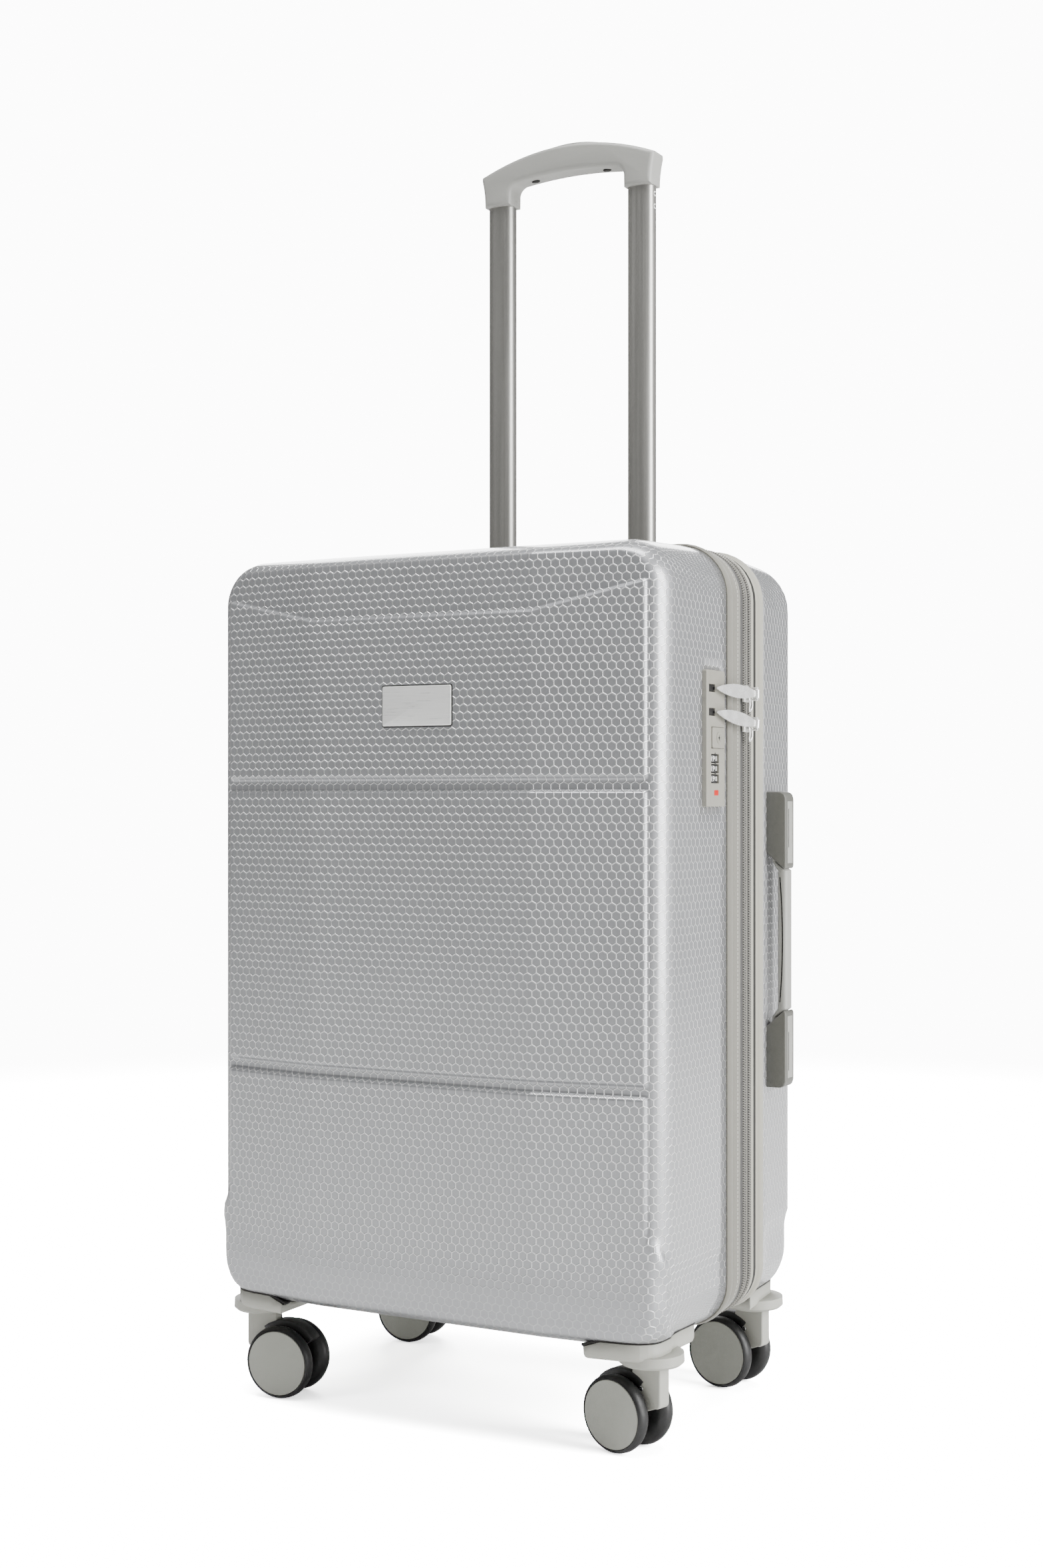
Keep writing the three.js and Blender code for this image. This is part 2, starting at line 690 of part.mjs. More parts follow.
put("lock_body", lockBody(), "lock");
DIAL.z.forEach((z, i) => put("lock_dial_" + (i + 1), dial(z), "dial"));
put("lock_button", lockButton(), "lock");
put("key_cylinder", keyCylinder(), "chrome");
["upper", "lower"].forEach((level, i) => {
  put("zip_slider_" + level, zipSlider(SLIDER.z[i]), "chrome");
  put("zip_puller_" + level, zipPuller(SLIDER.z[i], SLOT.z[i]), "chrome");
});

put("side_handle_mount_upper", sideMount(true), "dark");
put("side_handle_mount_lower", sideMount(false), "dark");
put("side_handle_grip", sideGrip(), "grip");
put("top_handle_grip", topHandle(), "grip");

put("trolley_bezel", bezel(), "grip");
put("trolley_grip", grip(), "grip");
put("grip_button", gripButtonBlock(0, 0), "grip");
for (const [name, side] of [["left", -1], ["right", 1]]) {
  put("trolley_rail_" + name, rail(side), "aluminium");
  put("trolley_tube_" + name, tube(side), "aluminium");
}

for (const caster of CASTERS) {
  const name = caster.side;
  put("caster_mount_" + name, casterMount(caster), "guard");
  const swivel = new THREE.Group();
  swivel.position.set(caster.x * CASTER.x, caster.y * CASTER.y, 0);
  swivel.rotation.z = rad(caster.heading);
  suitcase.add(swivel);
  put("fork_" + name, fork(), "guard", swivel);
  put("axle_" + name, axle(), "chrome", swivel);
  for (const [letter, side] of [["a", -1], ["b", 1]]) {
    put("wheel_" + name + "_" + letter, wheel(side), "tyre", swivel);
    put("wheel_cap_" + name + "_" + letter, wheelCap(side), "cap", swivel);
  }
}

// Put the origin at the centre of the base of the bounding box.
suitcase.updateMatrixWorld(true);
const bounds = new THREE.Box3().setFromObject(suitcase, true);
const centre = bounds.getCenter(new THREE.Vector3());
suitcase.position.set(-centre.x, -centre.y, -bounds.min.z);

export default suitcase;
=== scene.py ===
"""Hard shell suitcase on four twin wheel casters: the visual model round its CAD frame.

Lengths in the modelling functions are millimetres about the middle of the case: X to the right, Y towards
the back, Z up. finish_piece() turns them into metres and moves them to where the frame stands.
"""

import math

import bmesh
import bpy
from bpy.props import FloatProperty, PointerProperty
from mathutils import Matrix, Vector


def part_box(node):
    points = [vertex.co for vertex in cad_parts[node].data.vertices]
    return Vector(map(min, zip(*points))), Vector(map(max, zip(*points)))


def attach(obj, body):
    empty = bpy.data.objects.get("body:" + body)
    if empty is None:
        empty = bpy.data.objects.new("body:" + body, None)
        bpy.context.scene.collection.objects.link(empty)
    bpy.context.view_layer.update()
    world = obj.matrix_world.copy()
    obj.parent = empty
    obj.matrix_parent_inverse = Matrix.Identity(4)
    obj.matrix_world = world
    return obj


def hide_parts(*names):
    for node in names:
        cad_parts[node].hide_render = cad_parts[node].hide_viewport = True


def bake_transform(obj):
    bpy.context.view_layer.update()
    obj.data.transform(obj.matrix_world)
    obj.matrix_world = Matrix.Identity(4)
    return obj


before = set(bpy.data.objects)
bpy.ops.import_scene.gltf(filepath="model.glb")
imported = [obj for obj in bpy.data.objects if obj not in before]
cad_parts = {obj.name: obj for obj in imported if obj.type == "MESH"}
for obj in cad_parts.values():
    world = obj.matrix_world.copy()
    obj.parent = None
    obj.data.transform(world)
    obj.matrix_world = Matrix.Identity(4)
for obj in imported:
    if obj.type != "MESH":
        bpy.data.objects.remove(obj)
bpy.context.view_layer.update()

bl_info = {
    "name": "Hard Shell Suitcase",
    "version": (1, 0, 0),
    "blender": (4, 5, 0),
    "location": "3D View > Sidebar > Suitcase",
    "description": "Builds a hard shell suitcase with trolley handle, lock, zips and casters",
    "category": "Add Mesh",
}

MM = 0.001
TUBE_LEFT, TUBE_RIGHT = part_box("trolley_tube_left"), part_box("trolley_tube_right")
# where the middle of the case stands in the frame
CASE_ORIGIN = Vector(
    (
        (TUBE_LEFT[0].x + TUBE_RIGHT[1].x) / 2,
        (TUBE_LEFT[0].y + TUBE_LEFT[1].y) / 2 - 115 * MM,
        0,
    )
)

# ---------------------------------------------------------------- sizes
HALF_WIDTH, BOTTOM, TOP = 209, 82, 702
MIDDLE_Z = (BOTTOM + TOP) / 2
TOP_RADIUS, BOTTOM_RADIUS = 42, 36
FRONT_FACE, CREASE_X, FACE_SLOPE = -146.8, 100, 13 / 89
FRONT_RIM, REAR_RIM, REAR_FACE = -24.3, 50.3, 136.8
DRAFT = 0.048
FACE_INSET = 16  # from the case's outline to the edge of a shell's face
PANEL_RAISE, PANEL_SLOPE = 3.2, 3.4
PANEL_X = 189
LOCK_FACE = 210.5
LOCK_Y, LOCK_Z = (-67, -31), (494, 600)
DIAL_Z = (531.3, 523.5, 515.6)
TUBE_X, TUBE_Y, TUBE_TOP = 70, 115, 1038
CASTERS = {
    "front_left": (-180, -102, 6),
    "front_right": (180, -102, 166),
    "rear_left": (-180, 102, 4),
    "rear_right": (180, 102, 170),
}
WHEEL_RADIUS, TRAIL = 30, 23
SLIDER_Z = {"upper": 584, "lower": 560}
SLOT_Z = {"upper": 586, "lower": 567.5}
ZIP_Y = 9.5
DIAL_RADIUS, DIAL_Y = 7.5, -50
DIGITS = 10
SAME = 1e-3  # two places closer than this are the same place


# ---------------------------------------------------------------- shader kit
def colour(code):
    """A colour written as rrggbb, as the linear RGBA that a socket takes."""
    channels = [int(code[i : i + 2], 16) / 255 for i in (0, 2, 4)]
    return [c / 12.92 if c <= 0.04045 else ((c + 0.055) / 1.055) ** 2.4 for c in channels] + [1]


class Value:
    """A shader socket that can be used in a formula."""

    def __init__(self, paint, socket):
        self.paint, self.socket = paint, socket

    def _math(self, operation, *terms):
        return self.paint.node("ShaderNodeMath", {"operation": operation}, dict(enumerate(terms)))

    def __add__(self, other):
        return self._math("ADD", self, other)

    def __radd__(self, other):
        return self._math("ADD", other, self)

    def __sub__(self, other):
        return self._math("SUBTRACT", self, other)

    def __rsub__(self, other):
        return self._math("SUBTRACT", other, self)

    def __mul__(self, other):
        return self._math("MULTIPLY", self, other)

    def __rmul__(self, other):
        return self._math("MULTIPLY", other, self)

    def __truediv__(self, other):
        return self._math("DIVIDE", self, other)

    def __abs__(self):
        return self._math("ABSOLUTE", self)

    def least(self, other):
        return self._math("MINIMUM", self, other)

    def most(self, other):
        return self._math("MAXIMUM", self, other)

    def part(self):
        """What is left over a whole number."""
        return self._math("FRACT", self)

    def wave(self):
        return self._math("SINE", self)

    def ramp(self, low, high, start=0.0, end=1.0):
        """Runs smoothly from start at low to end at high."""
        return self.paint.node(
            "ShaderNodeMapRange",
            {"interpolation_type": "SMOOTHSTEP"},
            {"Value": self, "From Min": low, "From Max": high, "To Min": start, "To Max": end},
        )


class Paint:
    """A material with one Principled shader, and the nodes that feed it."""

    def __init__(self, name, base, roughness, metallic=0.0, **fixed):
        self.material = bpy.data.materials.new(name)
        self.material.use_nodes = True
        self.tree = self.material.node_tree
        self.tree.nodes.clear()
        output = self.tree.nodes.new("ShaderNodeOutputMaterial")
        self.shader = self.tree.nodes.new("ShaderNodeBsdfPrincipled")
        self.tree.links.new(self.shader.outputs[0], output.inputs["Surface"])
        self.base = colour(base)
        self.feed(Base_Color=self.base, Roughness=roughness, Metallic=metallic, **fixed)

    def feed(self, **sockets):
        for name, value in sockets.items():
            self._set(self.shader.inputs[name.replace("_", " ")], value)

    def _set(self, socket, value):
        if isinstance(value, Value):
            self.tree.links.new(value.socket, socket)
        else:
            socket.default_value = value

    def node(self, kind, settings=None, inputs=None, output=0):
        """Adds a node: its settings are made first, then the values or links of its sockets."""
        made = self.tree.nodes.new(kind)
        for name, value in (settings or {}).items():
            setattr(made, name, value)
        for name, value in (inputs or {}).items():
            self._set(made.inputs[name], value)
        return Value(self, made.outputs[output])

    def place(self):
        return self.node("ShaderNodeTexCoord", output="Object")

    def skin(self):
        """The piece's own pattern attribute."""
        return self.node("ShaderNodeAttribute", {"attribute_name": "skin"}, output="Vector")

    def axes(self, vector):
        split = self.tree.nodes.new("ShaderNodeSeparateXYZ")
        self.tree.links.new(vector.socket, split.inputs[0])
        return [Value(self, s) for s in split.outputs]

    def stretch(self, vector, scale):
        return self.node(
            "ShaderNodeVectorMath", {"operation": "MULTIPLY"}, {0: vector, 1: scale}
        )

    def noise(self, scale, detail=3.0, rough=0.5, stretch=None):
        vector = self.place()
        if stretch:
            vector = self.stretch(vector, stretch)
        return self.node(
            "ShaderNodeTexNoise",
            inputs={"Vector": vector, "Scale": scale, "Detail": detail, "Roughness": rough},
        )

    def mix(self, factor, first, second):
        """A colour between two colours."""
        return self.node(
            "ShaderNodeMix",
            {"data_type": "RGBA"},
            {0: factor, 6: first, 7: second},
            output=2,
        )

    def bump(self, height, depth, strength=1.0, normal=None):
        inputs = {"Height": height, "Distance": depth, "Strength": strength}
        if normal is not None:
            inputs["Normal"] = normal
        return self.node("ShaderNodeBump", inputs=inputs)

    def shade(self, factor, dark=0.85, light=1.12):
        """The base colour, darker where the factor is 0 and lighter where it is 1."""
        first = [c * dark for c in self.base[:3]] + [1]
        second = [min(1, c * light) for c in self.base[:3]] + [1]
        return self.mix(factor, first, second)


def moulded(name, base, roughness, grain=900, depth=0.00006, **fixed):
    """Moulded plastic with a fine spark-eroded grain, faint clouding and rubbed patches."""
    paint = Paint(name, base, roughness, **fixed)
    cloud = paint.noise(14, 4)
    grit = paint.noise(grain, 2)
    paint.feed(
        Base_Color=paint.shade(cloud, 0.93, 1.06),
        Roughness=cloud.ramp(0.3, 0.7, roughness - 0.06, roughness + 0.07),
        Normal=paint.bump(grit, depth),
    )
    return paint.material


def shell_film(name, base, ridge_highlight_colour, width, relief):
    """Glossy film over the shells, embossed with raised hexagon lines that fade where the skin says so. The
    lines are also painted towards near white as a painted highlight.
    """
    paint = Paint(name, base, 0.34, 0.55, Coat_Weight=0.6, Coat_Roughness=0.1, IOR=1.5)
    across, up, depth = paint.axes(paint.skin())
    high = width * math.sqrt(3)

    def from_centre(shift):
        x = abs(((across / width + shift).part() - 0.5) * width)
        z = abs(((up / high + shift).part() - 0.5) * high)
        return x.most(x * 0.5 + z * (math.sqrt(3) / 2))

    distance = from_centre(0.0).least(from_centre(0.5))
    ridge_and_highlight = distance.ramp(width * 0.5 - 0.00068, width * 0.5 - 0.00012) * depth
    cloud = paint.noise(5, 3)
    fleck = paint.noise(2600, 1)
    darker, lighter = ([c * share for c in paint.base[:3]] + [1] for share in (0.95, 1.05))
    tone = paint.mix(cloud, darker, lighter)
    # painted highlight: the raised lines are painted towards a near white colour, standing in for the light
    # they catch
    paint.feed(
        Base_Color=paint.mix(ridge_and_highlight * 0.6, tone, colour(ridge_highlight_colour)),
        Roughness=cloud.ramp(0.3, 0.7, 0.28, 0.36) - ridge_and_highlight * 0.1,
        Normal=paint.bump(ridge_and_highlight, relief, 1.0, paint.bump(fleck, 0.00002)),
    )
    return paint.material


def woven(name, base, pitch, roughness=0.85, stitch_at=None, thread="e6e3d8"):
    """Woven tape or cloth. The weave follows the skin attribute: along the tape, then across it."""
    paint = Paint(name, base, roughness, Sheen_Weight=0.25, Sheen_Roughness=0.5)
    along, across, _ = paint.axes(paint.skin())
    turn = 2 * math.pi / pitch
    warp = (along * turn).wave()
    weft = (across * turn).wave()
    weave = warp * weft * 0.5 + 0.5
    cloud = paint.noise(60, 3)
    tone = paint.shade(weave * 0.6 + cloud * 0.4, 0.8, 1.12)
    height = weave
    if stitch_at is not None:
        row = abs(across - stitch_at).ramp(0.00028, 0.0005, 1.0, 0.0)
        dash = abs((along / 0.0034).part() - 0.5).ramp(0.3, 0.38, 1.0, 0.0)
        stitch = row * dash
        furrow_and_shade = abs(across - stitch_at).ramp(0.0004, 0.0011, 1.0, 0.0)
        tone = paint.mix(stitch * 0.7, tone, colour(thread))
        # painted shade: the tape is painted darker in the groove beside the stitch row, where shade falls
        tone = paint.mix((furrow_and_shade - stitch).most(0.0) * 0.35, tone, [c * 0.45 for c in paint.base[:3]] + [1])
        height = weave * 0.25 + stitch * 2.0 - furrow_and_shade * 1.5
    paint.feed(Base_Color=tone, Normal=paint.bump(height, 0.00012))
    return paint.material


def cloth(name, base, pitch, axes=(0, 2)):
    """Plain woven lining cloth on its own place in the case."""
    paint = Paint(name, base, 0.9, Sheen_Weight=0.3, Sheen_Roughness=0.5)
    spot = paint.axes(paint.place())
    turn = 2 * math.pi / pitch
    weave = (spot[axes[0]] * turn).wave() * (spot[axes[1]] * turn).wave() * 0.5 + 0.5
    cloud = paint.noise(30, 4)
    paint.feed(
        Base_Color=paint.shade(weave * 0.5 + cloud * 0.5, 0.75, 1.15),
        Normal=paint.bump(weave + cloud * 2.0, 0.00025),
    )
    return paint.material


def brushed(name, base, roughness, stretch, metallic=1.0, **fixed):
    """Metal with fine drawn lines along the axis that is stretched least."""
    paint = Paint(name, base, roughness, metallic, **fixed)
    lines = paint.noise(1.0, 4, 0.6, stretch)
    smear = paint.noise(18, 3)
    paint.feed(
        Base_Color=paint.shade(lines, 0.86, 1.1),
        Roughness=lines.ramp(0.25, 0.75, roughness - 0.07, roughness + 0.1) + smear * 0.05,
        Normal=paint.bump(lines, 0.00003),
    )
    return paint.material


def rubber(name, base):
    """Tyre rubber: dark, with a dusting of grey along the tread."""
    paint = Paint(name, base, 0.5)
    dust = paint.noise(90, 5, 0.65)
    grit = paint.noise(700, 2)
    paint.feed(
        Base_Color=paint.mix(dust.ramp(0.55, 0.85, 0.0, 0.25), paint.base, colour("3a3936")),
        Roughness=dust.ramp(0.3, 0.8, 0.38, 0.62),
        Normal=paint.bump(grit, 0.00008),
    )
    return paint.material


def polished(name, base, roughness, metallic=1.0):
    """Plated metal with faint handling marks."""
    paint = Paint(name, base, roughness, metallic)
    smear = paint.noise(120, 4)
    paint.feed(
        Base_Color=paint.shade(smear, 0.92, 1.05),
        Roughness=smear.ramp(0.35, 0.75, roughness, roughness + 0.14),
        Normal=paint.bump(paint.noise(400, 2), 0.00002),
    )
    return paint.material


PAINTS = {}


def make_paints(settings):
    # f6f6f4 is a painted highlight laid on the hexagon ridges
    PAINTS["shell"] = shell_film(
        "shell_film", "999a9d", "f6f6f4", settings.hexagon, settings.relief
    )
    PAINTS["guard"] = moulded("guard_plastic", "a5a59d", 0.5, 1100, 0.00008)
    PAINTS["binding"] = woven("binding_tape", "6c6a61", 0.0011, 0.75, 0.0265)
    PAINTS["edging"] = woven("edging_cord", "979589", 0.0011, 0.7)
    PAINTS["tape"] = woven("zip_tape", "2b2a28", 0.0009, 0.85)
    PAINTS["gusset"] = cloth("gusset_cloth", "7c7b76", 0.0013, (1, 2))
    PAINTS["lining"] = cloth("lining_cloth", "6f7173", 0.0016)
    PAINTS["mesh_cloth"] = cloth("mesh_cloth", "4b4d50", 0.0026)
    PAINTS["strap"] = cloth("strap_web", "55575a", 0.0012)
    PAINTS["teeth"] = moulded("zip_coil", "7b7972", 0.35, 1500, 0.00003, Coat_Weight=0.3)
    # dark rubber for the nameplate bed, screws and eyelet holes; the same paint also makes painted shade: the
    # dark strips under the corner guards, round the rear band, on the side mounts and along the side grip
    PAINTS["seam"] = moulded("dark_rubber_and_painted_shade", "1b1a18", 0.7)
    PAINTS["lock"] = moulded("lock_plastic", "8a887f", 0.42, 1300, 0.00004)
    PAINTS["lock_dark"] = moulded("lock_inside", "151514", 0.5)
    PAINTS["dial"] = moulded("dial_plastic", "141414", 0.35, 1500, 0.00003)
    PAINTS["mark"] = moulded("dial_mark", "e8e8e4", 0.5)
    PAINTS["signal"] = moulded("signal_red", "b81405", 0.4)
    PAINTS["chrome"] = polished("chrome", "f4f4f2", 0.22, 0.6)
    PAINTS["nameplate"] = brushed("nameplate_metal", "f2f2f0", 0.3, (40, 40, 1400), 0.45)
    PAINTS["steel"] = polished("axle_steel", "b8b8b6", 0.22)
    PAINTS["aluminium"] = brushed("tube_aluminium", "a8a7a3", 0.34, (260, 260, 3), 0.85)
    PAINTS["grip"] = moulded("grip_plastic", "9a9a96", 0.42, 1200, 0.00005)
    PAINTS["handle_dark"] = moulded("handle_dark", "5c5c57", 0.45, 1000, 0.00006)
    PAINTS["handle"] = moulded("handle_light", "93938e", 0.45, 1000, 0.00006)
    PAINTS["tyre"] = rubber("tyre_rubber", "0e0e0f")
    PAINTS["wheel_cap"] = moulded("wheel_cap_plastic", "96978f", 0.45, 1200, 0.00005)
    PAINTS["insert"] = moulded("fork_insert", "1d1d1d", 0.4)


# ---------------------------------------------------------------- mesh kit
def smooth_step(low, high, value):
    t = min(1.0, max(0.0, (value - low) / (high - low)))
    return t * t * (3 - 2 * t)


def bevel(bm, edges, width, segments=2):
    bmesh.ops.bevel(
        bm,
        geom=list(edges),
        offset=width,
        segments=segments,
        affect="EDGES",
        profile=0.5,
        material=-1,
        clamp_overlap=True,
    )


def sharp(bm, angle=40):
    """Edges that turn more than an angle."""
    limit = math.radians(angle)
    return [e for e in bm.edges if len(e.link_faces) == 2 and e.calc_face_angle() > limit]


def finish_piece(
    bm, name, body, paint, replaces=(), recalc=True, wall=0.0, turn=None, crease=38
):
    """Puts a mesh into the frame as a piece that rides on a body."""
    bmesh.ops.remove_doubles(bm, verts=bm.verts, dist=1e-4)
    if turn is not None:
        bmesh.ops.transform(bm, matrix=turn, verts=bm.verts)
    bmesh.ops.scale(bm, vec=(MM, MM, MM), verts=bm.verts)
    bmesh.ops.translate(bm, vec=CASE_ORIGIN, verts=bm.verts)
    skin = bm.verts.layers.float_vector.get("skin")
    if skin:
        for v in bm.verts:
            v[skin] = (v[skin].x * MM, v[skin].y * MM, v[skin].z)
    if recalc:
        bmesh.ops.recalc_face_normals(bm, faces=bm.faces)
    limit = math.radians(crease)
    for e in bm.edges:
        e.smooth = not (len(e.link_faces) == 2 and e.calc_face_angle() > limit)
    for f in bm.faces:
        f.smooth = True
    mesh = bpy.data.meshes.new(name)
    bm.to_mesh(mesh)
    bm.free()
    piece = bpy.data.objects.new(name, mesh)
    bpy.context.scene.collection.objects.link(piece)
    piece.data.materials.append(PAINTS[paint])
    if wall:
        thick = piece.modifiers.new("Wall", "SOLIDIFY")
        thick.thickness = wall * MM
        thick.offset = -1
    if body:
        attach(piece, body)
    if replaces:
        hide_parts(*replaces)
    return piece


def polygon(bm, points):
    """A flat face through the points."""
    return bm.faces.new([bm.verts.new(p) for p in points])


def extrude_face(bm, faces, vector):
    made = bmesh.ops.extrude_face_region(bm, geom=list(faces))["geom"]
    verts = [g for g in made if isinstance(g, bmesh.types.BMVert)]
    bmesh.ops.translate(bm, vec=vector, verts=verts)
    return [g for g in made if isinstance(g, bmesh.types.BMFace)]


def prism(bm, points, vector, round_by=0.0, segments=3, angle=40):
    """A solid that a flat outline sweeps along a vector, with its sharp edges rounded."""
    face = polygon(bm, points)
    before = set(bm.verts) - set(face.verts)
    extrude_face(bm, [face], vector)
    made = [v for v in bm.verts if v not in before]
    if round_by:
        edges = {e for v in made for e in v.link_edges}
        limit = math.radians(angle)
        bevel(
            bm,
            [e for e in edges if len(e.link_faces) == 2 and e.calc_face_angle() > limit],
            round_by,
            segments,
        )


def arc(cx, cy, radius, start, end, steps):
    """Points round a centre, angles in degrees."""
    return [
        (
            cx + radius * math.cos(math.radians(start + (end - start) * i / steps)),
            cy + radius * math.sin(math.radians(start + (end - start) * i / steps)),
        )
        for i in range(steps + 1)
    ]


def rounded_rect(x0, x1, y0, y1, radius, steps=5):
    return (
        arc(x1 - radius, y0 + radius, radius, -90, 0, steps)
        + arc(x1 - radius, y1 - radius, radius, 0, 90, steps)
        + arc(x0 + radius, y1 - radius, radius, 90, 180, steps)
        + arc(x0 + radius, y0 + radius, radius, 180, 270, steps)
    )


def curve_points(start, control, end, steps):
    """Points on a quadratic curve, without its first."""
    points = []
    for i in range(1, steps + 1):
        t = i / steps
        points.append(
            tuple(
                (1 - t) ** 2 * a + 2 * t * (1 - t) * b + t * t * c
                for a, b, c in zip(start, control, end)
            )
        )
    return points


def in_xz(points, y):
    return [(x, y, z) for x, z in points]


def in_yz(points, x):
    return [(x, y, z) for y, z in points]


def in_xy(points, z):
    return [(x, y, z) for x, y in points]


def block(bm, low, high, round_by=0.6, segments=2):
    """A box between two corners, with rounded edges."""
    low, high = Vector(low), Vector(high)
    made = bmesh.ops.create_cube(
        bm, size=1, matrix=Matrix.Translation((low + high) / 2) @ Matrix.Diagonal((*(high - low), 1))
    )
    if round_by:
        bevel(bm, {e for v in made["verts"] for e in v.link_edges}, round_by, segments)


def turned(bm, profile, matrix, steps=32):
    """A solid turned round the Z axis from (radius, height) points, then moved by a matrix."""
    verts = [bm.verts.new((r, 0, h)) for r, h in profile]
    edges = [bm.edges.new(pair) for pair in zip(verts, verts[1:])]
    made = bmesh.ops.spin(
        bm,
        geom=verts + edges,
        cent=(0, 0, 0),
        axis=(0, 0, 1),
        angle=2 * math.pi,
        steps=steps,
        use_merge=True,
    )
    near = {v for e in edges for v in e.verts if e.is_valid}
    todo, seen = list(near), set(near)
    while todo:
        for e in todo.pop().link_edges:
            for v in e.verts:
                if v not in seen:
                    seen.add(v)
                    todo.append(v)
    bmesh.ops.remove_doubles(bm, verts=list(seen), dist=1e-4)
    seen = [v for v in seen if v.is_valid]
    bmesh.ops.transform(bm, matrix=matrix, verts=seen)
    return made


def rings(bm, loops, close_profile=False, skins=None):
    """A skin through loops that have the same number of points.

    The first loop is a circle's vertices moved into place, and each next one is extruded from the last.
    """
    count = len(loops[0])
    step = bm.verts.layers.int.new("step")
    skin = bm.verts.layers.float_vector.new("skin") if skins else None
    start = bmesh.ops.create_circle(bm, segments=count, radius=1)["verts"]
    for i, v in enumerate(start):
        v[step] = i
    edges = {e for v in start for e in v.link_edges}
    first, verts = edges, start
    for number, loop in enumerate(loops):
        if number:
            made = bmesh.ops.extrude_edge_only(bm, edges=list(edges))["geom"]
            verts = [g for g in made if isinstance(g, bmesh.types.BMVert)]
            inside = set(verts)
            edges = [
                g
                for g in made
                if isinstance(g, bmesh.types.BMEdge) and all(v in inside for v in g.verts)
            ]
        for v in verts:
            v.co = loop[v[step]]
            if skin:
                v[skin] = skins[number][v[step]]
    if close_profile:
        bmesh.ops.bridge_loops(bm, edges=list(first) + list(edges))


def tube(bm, path, radius, sides=8):
    """A round wire along a path of points."""
    circles = []
    for i, point in enumerate(path):
        point = Vector(point)
        ahead = Vector(path[min(i + 1, len(path) - 1)]) - Vector(path[max(i - 1, 0)])
        turn = ahead.normalized().to_track_quat("Z", "X").to_matrix()
        circles.append((point, turn))
    start = bmesh.ops.create_circle(bm, segments=sides, radius=radius, cap_ends=True)["verts"]
    local = [v.co.copy() for v in start]
    face = next(f for f in start[0].link_faces if len(f.verts) == sides)
    for v, co in zip(start, local):
        v.co = circles[0][0] + circles[0][1] @ co
    order = list(start)
    for point, turn in circles[1:]:
        made = bmesh.ops.extrude_face_region(bm, geom=[face])["geom"]
        face = next(g for g in made if isinstance(g, bmesh.types.BMFace))
        nearest = {}
        for v in face.verts:
            nearest[v] = min(range(sides), key=lambda i: (order[i].co - v.co).length)
        fresh = [None] * sides
        for v, i in nearest.items():
            fresh[i] = v
        for i, v in enumerate(fresh):
            v.co = point + turn @ local[i]
        order = fresh


# ---------------------------------------------------------------- the case's outline
def outline_normal(x, z):
    """Which way the case's outline faces, for a point on or just inside it."""
    radius = TOP_RADIUS if z > MIDDLE_Z else BOTTOM_RADIUS
    reach = (TOP - MIDDLE_Z) - radius
    nx = max(abs(x) - (HALF_WIDTH - radius), 0) * math.copysign(1, x)
    nz = max(abs(z - MIDDLE_Z) - reach, 0) * math.copysign(1, z - MIDDLE_Z)
    return Vector((nx, nz)).normalized()


def outline(grow=0, steps=10):
    """The outline from the middle of the base round to just short of it, with the length run at no growth.
    The last side is very short, so that a pattern's seam falls there."""
    def corner(cx, cz, radius, start):
        return [
            (x, z) for x, z in arc(cx, cz, radius, start, start + 90, steps)
        ]

    points = [(0.0, BOTTOM)]
    points += corner(HALF_WIDTH - BOTTOM_RADIUS, BOTTOM + BOTTOM_RADIUS, BOTTOM_RADIUS, -90)
    points += corner(HALF_WIDTH - TOP_RADIUS, TOP - TOP_RADIUS, TOP_RADIUS, 0)
    points += corner(-HALF_WIDTH + TOP_RADIUS, TOP - TOP_RADIUS, TOP_RADIUS, 90)
    points += corner(-HALF_WIDTH + BOTTOM_RADIUS, BOTTOM + BOTTOM_RADIUS, BOTTOM_RADIUS, 180)
    points += [(-0.4, BOTTOM)]
    run, out = 0.0, []
    for i, (x, z) in enumerate(points):
        if i:
            run += math.dist(points[i - 1], points[i])
        n = outline_normal(x, z) if i not in (0, len(points) - 1) else Vector((0, -1))
        out.append((x + n.x * grow, z + n.y * grow, n, run))
    return out


def outline_ring(profile, steps=10):
    """A closed ring round the case from (grow, y) points, with its skin run along it and then across."""
    bm = bmesh.new()
    loops, skins, across = [], [], 0.0
    for i, (grow, y) in enumerate(profile):
        if i:
            across += math.dist(profile[i - 1], profile[i])
        points = outline(grow, steps)
        loops.append([(x, y, z) for x, z, _, _ in points])
        skins.append([(run, across, 0) for _, _, _, run in points])
    rings(bm, loops, True, skins)
    return bm


# ---------------------------------------------------------------- shells
COLUMNS = (
    0, 28, 56, 80, 94, 98, 99.3, 100, 100.7, 102, 106, 128, 152, 172, 182, 186.5, 188.2, 189, 190, 191.2,
    192.2, 193,
)
ROWS = (
    98, 102, 107, 112, 118, 124, 130, 138, 146, 151, 156, 162, 169, 176, 205, 240, 262, 270,
    273.4, 274.5, 275.4, 276.6, 277.6, 278.6,
    280.4, 283.2, 284.2, 285.2, 286.2, 287, 288.2, 292, 320, 360, 396, 440, 478, 498,
    502.8, 504, 504.9, 506, 507.1, 508.2,
    510.5, 514, 515.1, 516.2, 517.2, 518, 519.2, 523, 545, 575, 602, 624, 636,
    640.8, 642, 642.9, 644, 645.1, 646.2, 648, 652,
    658, 666, 674, 681, 686,
)
NOTCH = 20  # how far the top panel's upper edge climbs from the creases to its corners


def climb(x):
    """How far the top panel's upper edge has climbed at a distance from the middle."""
    return NOTCH * max(0.0, (abs(x) - CREASE_X) / (PANEL_X - CREASE_X))


